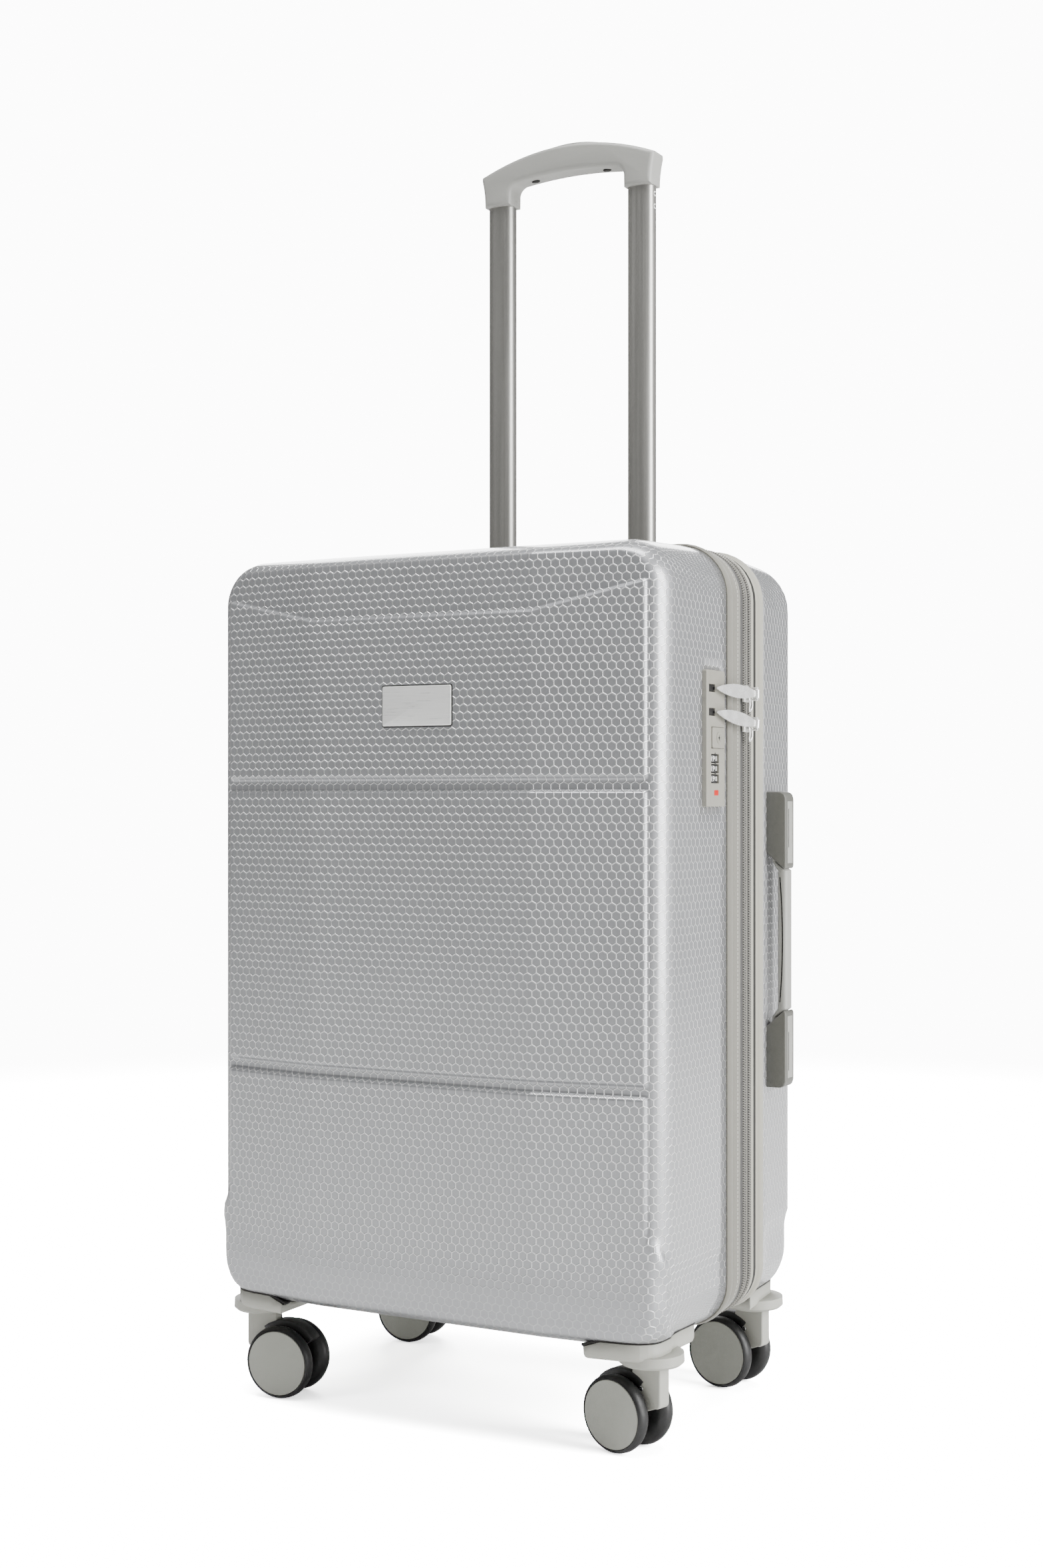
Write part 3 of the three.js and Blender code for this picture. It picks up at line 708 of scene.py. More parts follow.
def panel_raise(front, x, z):
    """How far the skin stands proud of the shell at a place on the unrolled face."""
    side = abs(x)
    flare = 20 * smooth_step(178, 144, z) if front else 0
    half = PANEL_X if front else 150
    outside = []
    over_side = side - half
    top = 642 + (min(climb(x), NOTCH) if front else 14)
    for low, high in ((518, top), (287, 504)):
        across = max(over_side, 0)
        along = max(low - z, z - high, 0)
        outside.append(math.hypot(across, along))
    across = max(side - half - flare, 0)
    outside.append(math.hypot(across, max(z - 274.5, 0, 0 if front else 120 - z)))
    return PANEL_RAISE * (1 - smooth_step(0, PANEL_SLOPE, min(outside)))


def side_step(x, z):
    """The skin steps in near the casters."""
    return -3.0 * smooth_step(149, 143, z) * smooth_step(190, 204, abs(x))


def shell_skin(front):
    """Half shell's outer skin: a grid shaped to the face, then rings extruded round the edge to the rim."""
    bm = bmesh.new()
    xs = [-x for x in COLUMNS[:0:-1]] + list(COLUMNS)
    bmesh.ops.create_grid(bm, x_segments=len(xs) - 1, y_segments=len(ROWS) - 1, size=1)
    base = bm.verts.layers.float_vector.new("base")
    skin = bm.verts.layers.float_vector.new("skin")
    columns, rows = sorted({round(v.co.x, 5) for v in bm.verts}), sorted({round(v.co.y, 5) for v in bm.verts})
    column_of = {value: i for i, value in enumerate(columns)}
    row_of = {value: i for i, value in enumerate(rows)}
    assert len(columns) == len(xs) and len(rows) == len(ROWS)
    half = HALF_WIDTH - FACE_INSET
    for v in bm.verts:
        x = xs[column_of[round(v.co.x, 5)]]
        z = ROWS[row_of[round(v.co.y, 5)]]
        if front:
            weight = smooth_step(560, 634, z) * (1 - smooth_step(654, 686, z))
            z += min(climb(x), NOTCH) * weight
        upper = z > MIDDLE_Z
        radius = (TOP_RADIUS if upper else BOTTOM_RADIUS) - FACE_INSET
        edge = (TOP if upper else BOTTOM) + (-FACE_INSET if upper else FACE_INSET)
        a = (abs(x) - (half - radius)) / radius
        b = ((z - edge) if upper else (edge - z)) / radius + 1
        if a > 0 and b > 0:
            a, b = a * math.sqrt(1 - b * b / 2), b * math.sqrt(1 - a * a / 2)
            x = math.copysign(half - radius + a * radius, x)
            z = edge + (b - 1) * radius * (1 if upper else -1)
        if front:
            y = FRONT_FACE + max(0.0, abs(x) - CREASE_X) * FACE_SLOPE
            y += 3 * smooth_step(124, 96, z)
        else:
            y = REAR_FACE
        v.co = (x, y, z)
        v[base] = (x, y, z)
        v[skin] = (x, z, 1.0)
    edges = [e for e in bm.edges if e.is_boundary]
    rim = FRONT_RIM if front else REAR_RIM
    wrap_y = FRONT_FACE + 35 if front else REAR_FACE - 26
    side = -1 if front else 1
    wrap_grow = -DRAFT * abs(wrap_y - rim)
    steps = 9
    profile = []
    for i in range(1, steps + 1):
        turn = math.pi / 2 * i / steps
        profile.append(
            (
                -FACE_INSET + (FACE_INSET + wrap_grow) * math.sin(turn) ** 1.25,
                1 - math.cos(turn) ** 1.25,
                None,
            )
        )
    for i in range(1, 8):
        y = wrap_y + (rim - wrap_y) * i / 7
        profile.append((-DRAFT * abs(y - rim), None, y))
    for grow, share, y_wall in profile:
        made = bmesh.ops.extrude_edge_only(bm, edges=edges)["geom"]
        fresh = [g for g in made if isinstance(g, bmesh.types.BMVert)]
        inside = set(fresh)
        edges = [g for g in made if isinstance(g, bmesh.types.BMEdge) and all(v in inside for v in g.verts)]
        for v in fresh:
            x, y, z = v[base]
            n = outline_normal(x, z)
            out = grow + FACE_INSET
            if y_wall is None:
                y_now = y + (wrap_y - y) * share
            else:
                y_now = y_wall
            moved = Vector((x + n.x * out, y_now, z + n.y * out))
            run = (moved - v.co).length
            v.co = moved
            v[skin] = (v[skin].x + n.x * run, v[skin].y + n.y * run, v[skin].z)
    bmesh.ops.recalc_face_normals(bm, faces=bm.faces)
    bm.normal_update()
    if sum(f.normal.y * side > 0 for f in bm.faces) < len(bm.faces) / 3:
        bmesh.ops.reverse_faces(bm, faces=bm.faces)
        bm.normal_update()
    for v in bm.verts:
        h, up, _ = v[skin]
        near_rim = smooth_step(2, 16, abs(v.co.y - rim))
        rise = panel_raise(front, h, up) + side_step(v.co.x, v.co.z)
        v.co += v.normal * rise * near_rim
        fade = 1 - 0.75 * smooth_step(150, 118, up) * smooth_step(196, 180, abs(h))
        v[skin] = (h, up, fade if front else 1.0)
    return bm


def keep_inside(bm, planes):
    """Cuts a mesh by (point, outward normal) planes and keeps what is inside them all."""
    for point, normal in planes:
        bmesh.ops.bisect_plane(
            bm,
            geom=list(bm.verts) + list(bm.edges) + list(bm.faces),
            plane_co=point,
            plane_no=normal,
            dist=1e-4,
            clear_outer=True,
        )


def cut_window(bm, low, high):
    """Removes the part of a skin that lies in a box."""
    for axis in range(3):
        normal = [float(i == axis) for i in range(3)]
        for bound in (low, high):
            near = [
                f
                for f in bm.faces
                if all(
                    max(v.co[i] for v in f.verts) > low[i] and min(v.co[i] for v in f.verts) < high[i]
                    for i in range(3)
                )
            ]
            parts = {e for f in near for e in f.edges} | {v for f in near for v in f.verts} | set(near)
            bmesh.ops.bisect_plane(bm, geom=list(parts), plane_co=bound, plane_no=normal, dist=1e-4)
    inside = []
    for f in bm.faces:
        middle = f.calc_center_median()
        if all(low[i] < middle[i] < high[i] for i in range(3)):
            inside.append(f)
    bmesh.ops.delete(bm, geom=inside, context="FACES")


def swell(bm, distance):
    """Moves a skin outwards along its normals."""
    bm.normal_update()
    for v in bm.verts:
        v.co += v.normal * distance


class SUITCASE_OT_shells(bpy.types.Operator):
    """Make the two embossed half shells and their smooth insides"""

    bl_idname = "suitcase.shells"
    bl_label = "Shells"

    def execute(self, context):
        for front, name, body, low, high in (
            (
                True, "front_shell", "lid",
                (195, LOCK_Y[0] + 2, LOCK_Z[0] + 2), (215, LOCK_Y[1] - 2, LOCK_Z[1] - 2),
            ),
            (False, "rear_shell", "case", (-93, 103, 690), (93, 127, 710)),
        ):
            bm = shell_skin(front)
            cut_window(bm, low, high)
            finish_piece(bm, name + "_skin", body, "shell", [name], False, 2.4, crease=60)
        return {"FINISHED"}


class SUITCASE_OT_guards(bpy.types.Operator):
    """Make the corner guards, dark strips of painted shade under their rims and the swivel flanges"""

    bl_idname = "suitcase.guards"
    bl_label = "Corner guards"

    def execute(self, context):
        for name, (x, y, _) in CASTERS.items():
            front, side = y < 0, math.copysign(1, x)
            body = "lid" if front else "case"
            inner_y = -52 if front else 58
            # painted shade: the first pass lays a dark band a little wider than each guard, standing in for
            # the shadow under its rim
            for label, grow, lift, paint in (("guard_shadow", 1.3, 0.3, "seam"), ("guard", 0.0, 1.1, "guard")):
                bm = shell_skin(front)
                swell(bm, lift)
                out_y = 1 if front else -1
                keep_inside(
                    bm,
                    [
                        ((side * (139 - grow), 0, 0), (-side, 0, 0)),
                        ((0, 0, 89.5 + grow), (0, 0, 1)),
                        ((0, inner_y + out_y * grow, 0), (0, out_y, 0)),
                    ],
                )
                for v in bm.verts:
                    v.co.z -= 4.5 * smooth_step(147, 139, abs(v.co.x)) * smooth_step(84, 88, v.co.z)
                if label == "guard":
                    edges = [e for e in bm.edges if e.is_boundary]
                    rim = {v for e in edges for v in e.verts}
                    middle = Vector((side * 168, y, 0))
                    bmesh.ops.delete(bm, geom=[v for v in bm.verts if v not in rim], context="VERTS")
                    bmesh.ops.delete(bm, geom=bm.faces[:], context="FACES_ONLY")
                    loose = [e for e in bm.edges if e not in set(edges)]
                    bmesh.ops.delete(bm, geom=loose, context="EDGES")
                    for level, share in ((79.5, 0.99), (77.2, 0.975), (75.9, 0.95), (75.4, 0.9)):
                        made = bmesh.ops.extrude_edge_only(bm, edges=edges)["geom"]
                        fresh = {g for g in made if isinstance(g, bmesh.types.BMVert)}
                        edges = [
                            g for g in made if isinstance(g, bmesh.types.BMEdge) and set(g.verts) <= fresh
                        ]
                        for v in fresh:
                            v.co.x = middle.x + (v.co.x - middle.x) * share
                            v.co.y = middle.y + (v.co.y - middle.y) * share
                            v.co.z = level
                    bmesh.ops.holes_fill(bm, edges=edges, sides=0)
                    bmesh.ops.recalc_face_normals(bm, faces=bm.faces)
                if label == "guard":
                    flange = Matrix.Translation((x, y, 0))
                    turned(
                        bm,
                        [(6, 71.5), (22.6, 71.5), (24, 72.7), (24, 78), (6, 78)],
                        flange,
                        48,
                    )
                piece = finish_piece(
                    bm,
                    "corner_" + label + "_" + name,
                    body,
                    paint,
                    ["caster_mount_" + name] if label == "guard" else [],
                    False,
                    0,
                    crease=45,
                )
                wall = piece.modifiers.new("Wall", "SOLIDIFY")
                wall.thickness = 1.6 * MM
                wall.offset = -1
        return {"FINISHED"}


# ---------------------------------------------------------------- bindings, zips and cloth
class SUITCASE_OT_bindings(bpy.types.Operator):
    """Make the stitched bindings and the light edgings round both halves"""

    bl_idname = "suitcase.bindings"
    bl_label = "Bindings"

    def execute(self, context):
        piping = [(0.9, 0), (1.7, 1.2), (2.2, 3.2), (2.3, 5.5), (2.0, 8), (1.2, 10), (0.4, 10.9)]
        front = [(-3, -24.2)] + [(g, y - 24.2) for g, y in piping]
        front += [(0.3, -12.6), (0.6, -11.5), (0.7, -4), (0.6, 2.6), (0.1, 4.2), (-3, 4.2)]
        finish_piece(outline_ring(front), "front_binding", "lid", "binding", ["front_trim"])
        rear = [(-3, 50.2)] + [(g, 50.2 - y) for g, y in piping]
        rear += [(0.3, 38.4), (0.1, 36.4), (-3, 36.4)]
        finish_piece(outline_ring(rear), "rear_binding", "case", "edging", ["rear_trim"])
        band = [(-3, 25.8), (0.2, 25.9), (0.6, 26.8), (0.7, 29), (0.5, 30.6), (0.1, 31.2), (-3, 31.2)]
        finish_piece(outline_ring(band), "rear_band_edging", "case", "edging", ["rear_band"])
        # painted shade: a dark band round the case between the rear band edging and the rear binding,
        # standing in for the shadow in the gap there
        seam = [(-3, 31.2), (0.1, 31.3), (0.1, 36.4), (-3, 36.4)]
        finish_piece(outline_ring(seam), "rear_gap_shadow", "case", "seam")
        light = [(-2.5, 15.4), (0.3, 15.5), (0.6, 16.0), (0.7, 16.6), (0.6, 17.2), (0.3, 17.7), (-2.5, 17.8)]
        finish_piece(outline_ring(light), "middle_edging", "zip_strip", "binding")
        return {"FINISHED"}


TOOTH_PITCH = 2.0
ZIP_ROWS = {
    "main_zip_lid": ("lid", 9.2, 4.2, 9.9, 0.0),
    "main_zip_strip": ("zip_strip", 11.7, 11.0, 15.4, 0.5),
    "expansion_zip_strip": ("zip_strip", 20.4, 17.8, 21.1, 0.0),
    "expansion_zip_case": ("case", 22.9, 22.2, 25.8, 0.5),
}


def squarish(value, power):
    """A sine or cosine bent so that its circle comes out squarer."""
    return math.copysign(abs(value) ** power, value)


def along_outline(grow, pitch, shift):
    """Places spaced evenly round the outline: point, normal, direction."""
    points = outline(grow, 14)
    spots, carry = [], pitch * shift
    ordered = points + points[:1]
    for (x0, z0, n0, _), (x1, z1, n1, _) in zip(ordered, ordered[1:]):
        length = math.dist((x0, z0), (x1, z1))
        while carry < length:
            t = carry / length
            n = (n0 * (1 - t) + n1 * t).normalized()
            spots.append((x0 + (x1 - x0) * t, z0 + (z1 - z0) * t, n))
            carry += pitch
        carry -= length
    return spots


class SUITCASE_OT_zips(bpy.types.Operator):
    """Make the zip tapes, four rows of coil teeth and the expansion gusset"""

    bl_idname = "suitcase.zips"
    bl_label = "Zips"

    def execute(self, context):
        replaced = {"main_zip_strip": ["main_zip"], "expansion_zip_case": ["expansion_zip"]}
        for name, (body, centre, low, high, shift) in ZIP_ROWS.items():
            tape = [(-2, low), (0.2, low), (0.2, high), (-2, high)]
            finish_piece(outline_ring(tape), name + "_tape", body, "tape", replaced.get(name, ()))
            bm = bmesh.new()
            for x, z, n in along_outline(0.3, TOOTH_PITCH, shift):
                frame_axes = Matrix(
                    ((n.x, 0, -n.y, x), (0, 1, 0, centre), (n.y, 0, n.x, z), (0, 0, 0, 1))
                )
                made = bmesh.ops.create_cube(bm, size=1)["verts"]
                for v in made:
                    taper = 0.62 if v.co.x > 0 else 1.0
                    v.co = (0.55 + v.co.x * 1.1, v.co.y * 1.9 * taper, v.co.z * 1.0 * taper)
                bmesh.ops.transform(bm, matrix=frame_axes, verts=made)
            finish_piece(bm, name + "_teeth", body, "teeth", recalc=False, crease=80)
        pleats = [(-4.6, 8)]
        for i in range(1, 12):
            pleats.append((-4.6 - (0.9 if i % 2 else 0.0), 8 + i * 4))
        pleats += [(g - 1.0, y) for g, y in reversed(pleats)]
        finish_piece(
            outline_ring(pleats), "gusset_sleeve", "zip_strip", "gusset", ["expansion_gusset"]
        )
        return {"FINISHED"}


class SUITCASE_OT_linings(bpy.types.Operator):
    """Make the lid's zipped divider, the lining over the rails, the packing straps and the cloth hinge"""

    bl_idname = "suitcase.linings"
    bl_label = "Linings"

    def execute(self, context):
        bm = bmesh.new()
        polygon(bm, [(x, -15.2, z) for x, z, _, _ in outline(-7)])
        extrude_face(bm, bm.faces[:], (0, 1.2, 0))
        divider = finish_piece(bm, "lid_divider_cloth", "lid", "mesh_cloth", ["lid_divider"])
        bm = outline_ring(
            [(-24, -16.4), (-22.5, -17), (-20.5, -17), (-20.5, -12.8), (-22.5, -12.6), (-24, -13)]
        )
        finish_piece(bm, "lid_divider_zip", "lid", "tape")
        bm = outline_ring(
            [(-5.5, -16.5), (-4, -17.4), (-2.9, -16), (-2.9, -12.6), (-4.2, -11.8), (-5.5, -12.6)]
        )
        finish_piece(bm, "lid_divider_edging", "lid", "edging")
        bm = bmesh.new()
        polygon(bm, [(x, 101.5, z) for x, z, _, _ in outline(-19.5)])
        bmesh.ops.inset_region(bm, faces=bm.faces[:], thickness=14, depth=0)
        extrude_face(bm, bm.faces[:], (0, -1.4, 0))
        lining = finish_piece(bm, "rear_lining_cloth", "case", "lining", ["rear_lining"])
        for name, side in (("left", -1), ("right", 1)):
            for level, z0 in (("upper", 610), ("lower", 190)):
                bm = bmesh.new()
                start = Vector((side * 176, 97.5, z0))
                end = Vector((side * 16, 97.5, MIDDLE_Z + (z0 - MIDDLE_Z) * 0.04))
                run = (end - start).normalized()
                wide = run.cross(Vector((0, 1, 0))).normalized() * 12.5
                face = polygon(bm, [start - wide, end - wide, end + wide, start + wide])
                extrude_face(bm, [face], (0, 1.5, 0))
                finish_piece(bm, "packing_strap_" + level + "_" + name, "case", "strap")
        bm = bmesh.new()
        block(bm, (-24, 91.5, MIDDLE_Z - 22), (24, 97.4, MIDDLE_Z + 22), 3.0, 3)
        finish_piece(bm, "packing_buckle", "case", "insert")
        bm = bmesh.new()
        block(bm, (-16, 90.2, MIDDLE_Z - 7), (16, 92.5, MIDDLE_Z + 7), 1.0, 2)
        finish_piece(bm, "packing_buckle_tab", "case", "lock")
        bm = bmesh.new()
        bmesh.ops.create_grid(bm, x_segments=14, y_segments=6, size=0.5)
        for v in bm.verts:
            v.co = (-204.4, 4 + v.co.x * 34, MIDDLE_Z + v.co.y * 330)
        bmesh.ops.solidify(bm, geom=bm.faces[:], thickness=0.8)
        strip = finish_piece(bm, "hinge_cloth", None, "strap")
        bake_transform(strip)
        return {"FINISHED"}


# ---------------------------------------------------------------- lock and pullers
def pocketed_plate(bm, ys, zs, pockets, face, thickness, corner, edge):
    """A plate that faces +X, with pockets pushed into it and rounded corners."""
    cuts_y, cuts_z = {ys[0], ys[1]}, {zs[0], zs[1]}
    for y0, y1, z0, z1, _ in pockets:
        cuts_y |= {y0, y1}
        cuts_z |= {z0, z1}
    polygon(bm, [(face, ys[0], zs[0]), (face, ys[1], zs[0]), (face, ys[1], zs[1]), (face, ys[0], zs[1])])
    for value, normal in [(v, (0, 1, 0)) for v in cuts_y] + [(v, (0, 0, 1)) for v in cuts_z]:
        at = (face, value, 0) if normal[1] else (face, 0, value)
        bmesh.ops.bisect_plane(
            bm, geom=bm.verts[:] + bm.edges[:] + bm.faces[:], plane_co=at, plane_no=normal, dist=1e-4
        )
    plate = bm.faces[:]
    pocket_faces = []
    for y0, y1, z0, z1, deep in pockets:
        chosen = []
        for f in plate:
            if f.is_valid:
                c = f.calc_center_median()
                if y0 < c.y < y1 and z0 < c.z < z1:
                    chosen.append(f)
        made = extrude_face(bm, chosen, (-deep, 0, 0))
        bmesh.ops.delete(bm, geom=[f for f in chosen if f.is_valid], context="FACES_KEEP_BOUNDARY")
        pocket_faces += made
    outer = [
        e
        for e in bm.edges
        if len(e.link_faces) == 1
        and all(
            min(abs(v.co.y - y) for y in ys) < SAME or min(abs(v.co.z - z) for z in zs) < SAME
            for v in e.verts
        )
        and all(abs(v.co.x - face) < SAME for v in e.verts)
    ]
    made = bmesh.ops.extrude_edge_only(bm, edges=outer)["geom"]
    moved = [g for g in made if isinstance(g, bmesh.types.BMVert)]
    bmesh.ops.translate(bm, vec=(-thickness, 0, 0), verts=moved)
    bmesh.ops.remove_doubles(bm, verts=bm.verts, dist=1e-4)
    corners = [
        e
        for e in bm.edges
        if abs(e.verts[0].co.x - e.verts[1].co.x) > thickness * 0.9
        and min(abs(e.verts[0].co.y - y) for y in ys) < SAME
        and min(abs(e.verts[0].co.z - z) for z in zs) < SAME
    ]
    bevel(bm, corners, corner, 5)
    rims = [
        e
        for e in bm.edges
        if len(e.link_faces) == 2
        and all(abs(v.co.x - face) < SAME for v in e.verts)
        and e.calc_face_angle() > 0.6
    ]
    bevel(bm, rims, edge, 2)
    return pocket_faces


def digit(text, height, matrix, name):
    """A flat raised character, as a mesh about its own middle, moved by a matrix into a bmesh."""
    curve = bpy.data.curves.new(name, "FONT")
    curve.body = text
    curve.size = height * 1.38
    curve.extrude = 0.06
    curve.align_x, curve.align_y = "CENTER", "CENTER"
    curve.resolution_u = 3
    holder = bpy.data.objects.new(name, curve)
    bpy.context.scene.collection.objects.link(holder)
    bpy.context.view_layer.update()
    mesh = bpy.data.meshes.new_from_object(holder.evaluated_get(bpy.context.evaluated_depsgraph_get()))
    bpy.data.objects.remove(holder)
    bpy.data.curves.remove(curve)
    mesh.transform(matrix)
    return mesh


class SUITCASE_OT_lock(bpy.types.Operator):
    """Make the side lock: plate, dark wells, dials with their digits, button, key cylinder and red signal"""

    bl_idname = "suitcase.lock"
    bl_label = "Lock"

    def execute(self, context):
        bm = bmesh.new()
        pockets = [(-62, -50, z - 3, z + 3, 2.6) for z in SLOT_Z.values()]
        pockets += [(-57.6, -42.4, z - 3.5, z + 3.5, 2.0) for z in DIAL_Z]
        pockets.append((-57.3, -32.7, 539.2, 556, 1.4))
        pocketed_plate(bm, LOCK_Y, LOCK_Z, pockets, LOCK_FACE, 5.5, 3.0, 0.5)
        finish_piece(bm, "lock_plate", "lid", "lock", ["lock_body"])
        bm = bmesh.new()
        for z in SLOT_Z.values():
            block(bm, (LOCK_FACE - 2.9, -61.6, z - 2.6), (LOCK_FACE - 0.9, -50.4, z + 2.6), 0.2, 1)
            block(bm, (LOCK_FACE - 2.5, -51.8, z - 1.1), (LOCK_FACE + 0.05, -50.6, z + 1.1), 0.1, 1)
        for z in DIAL_Z:
            block(bm, (LOCK_FACE - 2.4, -57.3, z - 3.4), (LOCK_FACE - 1.6, -42.7, z + 3.4), 0.1, 1)
            prism(
                bm,
                [(LOCK_FACE - 0.6, y, z + up) for y, up in ((-51.4, 3.7), (-48.6, 3.7), (DIAL_Y, 5.0))],
                (0.66, 0, 0),
            )
        finish_piece(bm, "lock_wells", "lid", "lock_dark")
        bm = bmesh.new()
        block(bm, (LOCK_FACE - 1, -52, 502.6), (LOCK_FACE + 0.25, -44, 506.8), 0.25, 2)
        finish_piece(bm, "lock_signal", "lid", "signal")
        centre_x = LOCK_FACE + 0.7 - DIAL_RADIUS
        for number, z in enumerate(DIAL_Z, 1):
            bm = bmesh.new()
            turned(
                bm,
                [
                    (2, z - 3.0), (7.0, z - 3.0), (DIAL_RADIUS, z - 2.5), (DIAL_RADIUS, z + 2.5),
                    (7.0, z + 3.0), (2, z + 3.0), (2, z - 3.0),
                ],
                Matrix.Translation((centre_x, DIAL_Y, 0)),
                40,
            )
            body = "dial_%d" % number
            finish_piece(bm, "lock_dial_wheel_%d" % number, body, "dial", ["lock_dial_%d" % number])
            marks = bmesh.new()
            middle = Matrix.Translation((centre_x, DIAL_Y, z))
            outwards = (
                Matrix.Translation((7.52, 0, 0))
                @ Matrix.Rotation(math.pi / 2, 4, "Z")
                @ Matrix.Rotation(math.pi / 2, 4, "X")
            )
            for value in range(DIGITS):
                angle = math.radians(360 / DIGITS * value + 12)
                upright = middle @ Matrix.Rotation(angle, 4, "Z") @ outwards
                mesh = digit(str(value), 3.7, upright, "digit")
                marks.from_mesh(mesh)
                bpy.data.meshes.remove(mesh)
                spin = middle @ Matrix.Rotation(angle - math.radians(17), 4, "Z")
                divider = Matrix.Translation((7.53, 0, 0)) @ Matrix.Diagonal((0.14, 0.5, 3.6, 1))
                bmesh.ops.create_cube(marks, size=1, matrix=spin @ divider)
            finish_piece(marks, "lock_dial_marks_%d" % number, body, "mark", recalc=False)
        bm = bmesh.new()
        points = rounded_rect(-57, -33, 539.5, 555.7, 2.6, 5)
        prism(bm, in_yz(points, LOCK_FACE - 3), (4.0, 0, 0), 0.6, 3)
        finish_piece(bm, "lock_button_cap", "lock_button", "lock", ["lock_button"])
        bm = bmesh.new()
        along_x = Matrix.Translation((0, -45, 547.6)) @ Matrix.Rotation(math.pi / 2, 4, "Y")
        turned(
            bm,
            [(0, 205), (4.6, 205)]
            + [(r, LOCK_FACE + out) for r, out in ((4.6, 1.3), (4.2, 1.7), (3.4, 1.7), (3.1, 1.3), (0, 1.3))],
            along_x,
            32,
        )
        finish_piece(bm, "key_barrel", "key", "lock", ["key_cylinder"])
        bm = bmesh.new()
        block(bm, (LOCK_FACE + 1.1, -45.45, 545.6), (LOCK_FACE + 1.42, -44.55, 549.6), 0.1, 1)
        block(bm, (LOCK_FACE + 1.1, -46.5, 547.1), (LOCK_FACE + 1.42, -43.5, 548.1), 0.1, 1)
        finish_piece(bm, "key_slot", "key", "lock_dark")
        return {"FINISHED"}


class SUITCASE_OT_pullers(bpy.types.Operator):
    """Make the two zip sliders with their wire loops and leaf shaped pullers"""

    bl_idname = "suitcase.pullers"
    bl_label = "Zip pullers"

    def execute(self, context):
        slider_x = HALF_WIDTH + 1.6
        pin_x = slider_x + 10.5
        for level, z in SLIDER_Z.items():
            bm = bmesh.new()
            shape = [
                (ZIP_Y + 5.6, z - 6.5), (ZIP_Y + 6.1, z - 2), (ZIP_Y + 4.0, z + 6.4), (ZIP_Y + 1.6, z + 7.2),
                (ZIP_Y - 1.6, z + 7.2), (ZIP_Y - 4.0, z + 6.4), (ZIP_Y - 6.1, z - 2), (ZIP_Y - 5.6, z - 6.5),
            ]
            prism(bm, in_yz(shape, slider_x), (2.6, 0, 0), 0.7, 3, 20)
            for end in (-4.6, 4.6):
                corner = (slider_x + 1.5, ZIP_Y - 1.7, z + end - 0.7)
                block(bm, corner, (pin_x + 1.2, ZIP_Y + 1.7, z + end + 0.7), 0.5, 2)
            tube(bm, [(pin_x, ZIP_Y, z + t) for t in (-5.4, -2, 2, 5.4)], 0.95, 10)
            loop = []
            for i in range(19):
                turn = math.radians(180 + 180 * i / 18)
                out, across = math.sin(turn), math.cos(turn)
                loop.append((slider_x + 5.4 + 0.8 * out, ZIP_Y + 2.6 * across, z - 9 + 4.6 * out))
            loop = [(slider_x + 5.4, ZIP_Y - 2.6, z - 3)] + loop + [(slider_x + 5.4, ZIP_Y + 2.6, z - 3)]
            tube(bm, loop, 0.85, 10)
            finish_piece(
                bm, "slider_" + level, "slider_" + level, "chrome", ["zip_slider_" + level]
            )
            bm = bmesh.new()
            length, width = 64, 10.5
            edge = [(0, -1.6)] + curve_points((0, -1.6), (-length * 0.5, -width * 0.92), (-length, -0.6), 12)
            edge.append((-length, 0.6))
            edge += curve_points((-length, 0.6), (-length * 0.5, width * 0.92), (0, 1.6), 12)
            face = polygon(bm, in_yz(edge, 0.35))
            bmesh.ops.inset_region(bm, faces=[face], thickness=1.5, depth=0.45)
            bm.normal_update()
            low = bmesh.ops.duplicate(bm, geom=bm.verts[:] + bm.edges[:] + bm.faces[:])["geom"]
            flipped = [g for g in low if isinstance(g, bmesh.types.BMVert)]
            for v in flipped:
                v.co.x = -v.co.x
            rims = [e for e in bm.edges if e.is_boundary]
            bmesh.ops.bridge_loops(bm, edges=rims)
            turned(
                bm,
                [(1.25, -3.6), (2.0, -3.6), (2.4, -3.2), (2.4, 3.2), (2.0, 3.6), (1.25, 3.6), (1.25, -3.6)],
                Matrix.Identity(4),
                20,
            )
            inward = math.asin((pin_x - LOCK_FACE - 0.6 - 1.6 - 0.9) / length)
            upward = math.asin((SLOT_Z[level] - z) / length)
            turn = (
                Matrix.Translation((pin_x, ZIP_Y, z))
                @ Matrix.Rotation(-inward, 4, "Z")
                @ Matrix.Rotation(-upward, 4, "X")
            )
            finish_piece(
                bm, "puller_" + level, "puller_" + level, "chrome", ["zip_puller_" + level],
                turn=turn,
            )
        return {"FINISHED"}


# ---------------------------------------------------------------- nameplate and handles
class SUITCASE_OT_nameplate(bpy.types.Operator):
    """Make the blank nameplate and the dark bed it lies in"""

    bl_idname = "suitcase.nameplate"
    bl_label = "Nameplate"

    def execute(self, context):
        bm = bmesh.new()
        prism(bm, in_xz(rounded_rect(-31.5, 31.5, 557.25, 588.75, 1.6, 4), -149.0), (0, -2.3, 0), 0.7, 3)
        finish_piece(bm, "nameplate_face", "lid", "nameplate", ["nameplate"])
        bm = bmesh.new()
        prism(bm, in_xz(rounded_rect(-32.5, 32.5, 556.2, 589.7, 2.2, 4), -149.0), (0, -1.25, 0), 0.3, 2)
        finish_piece(bm, "nameplate_bed", "lid", "seam")
        return {"FINISHED"}


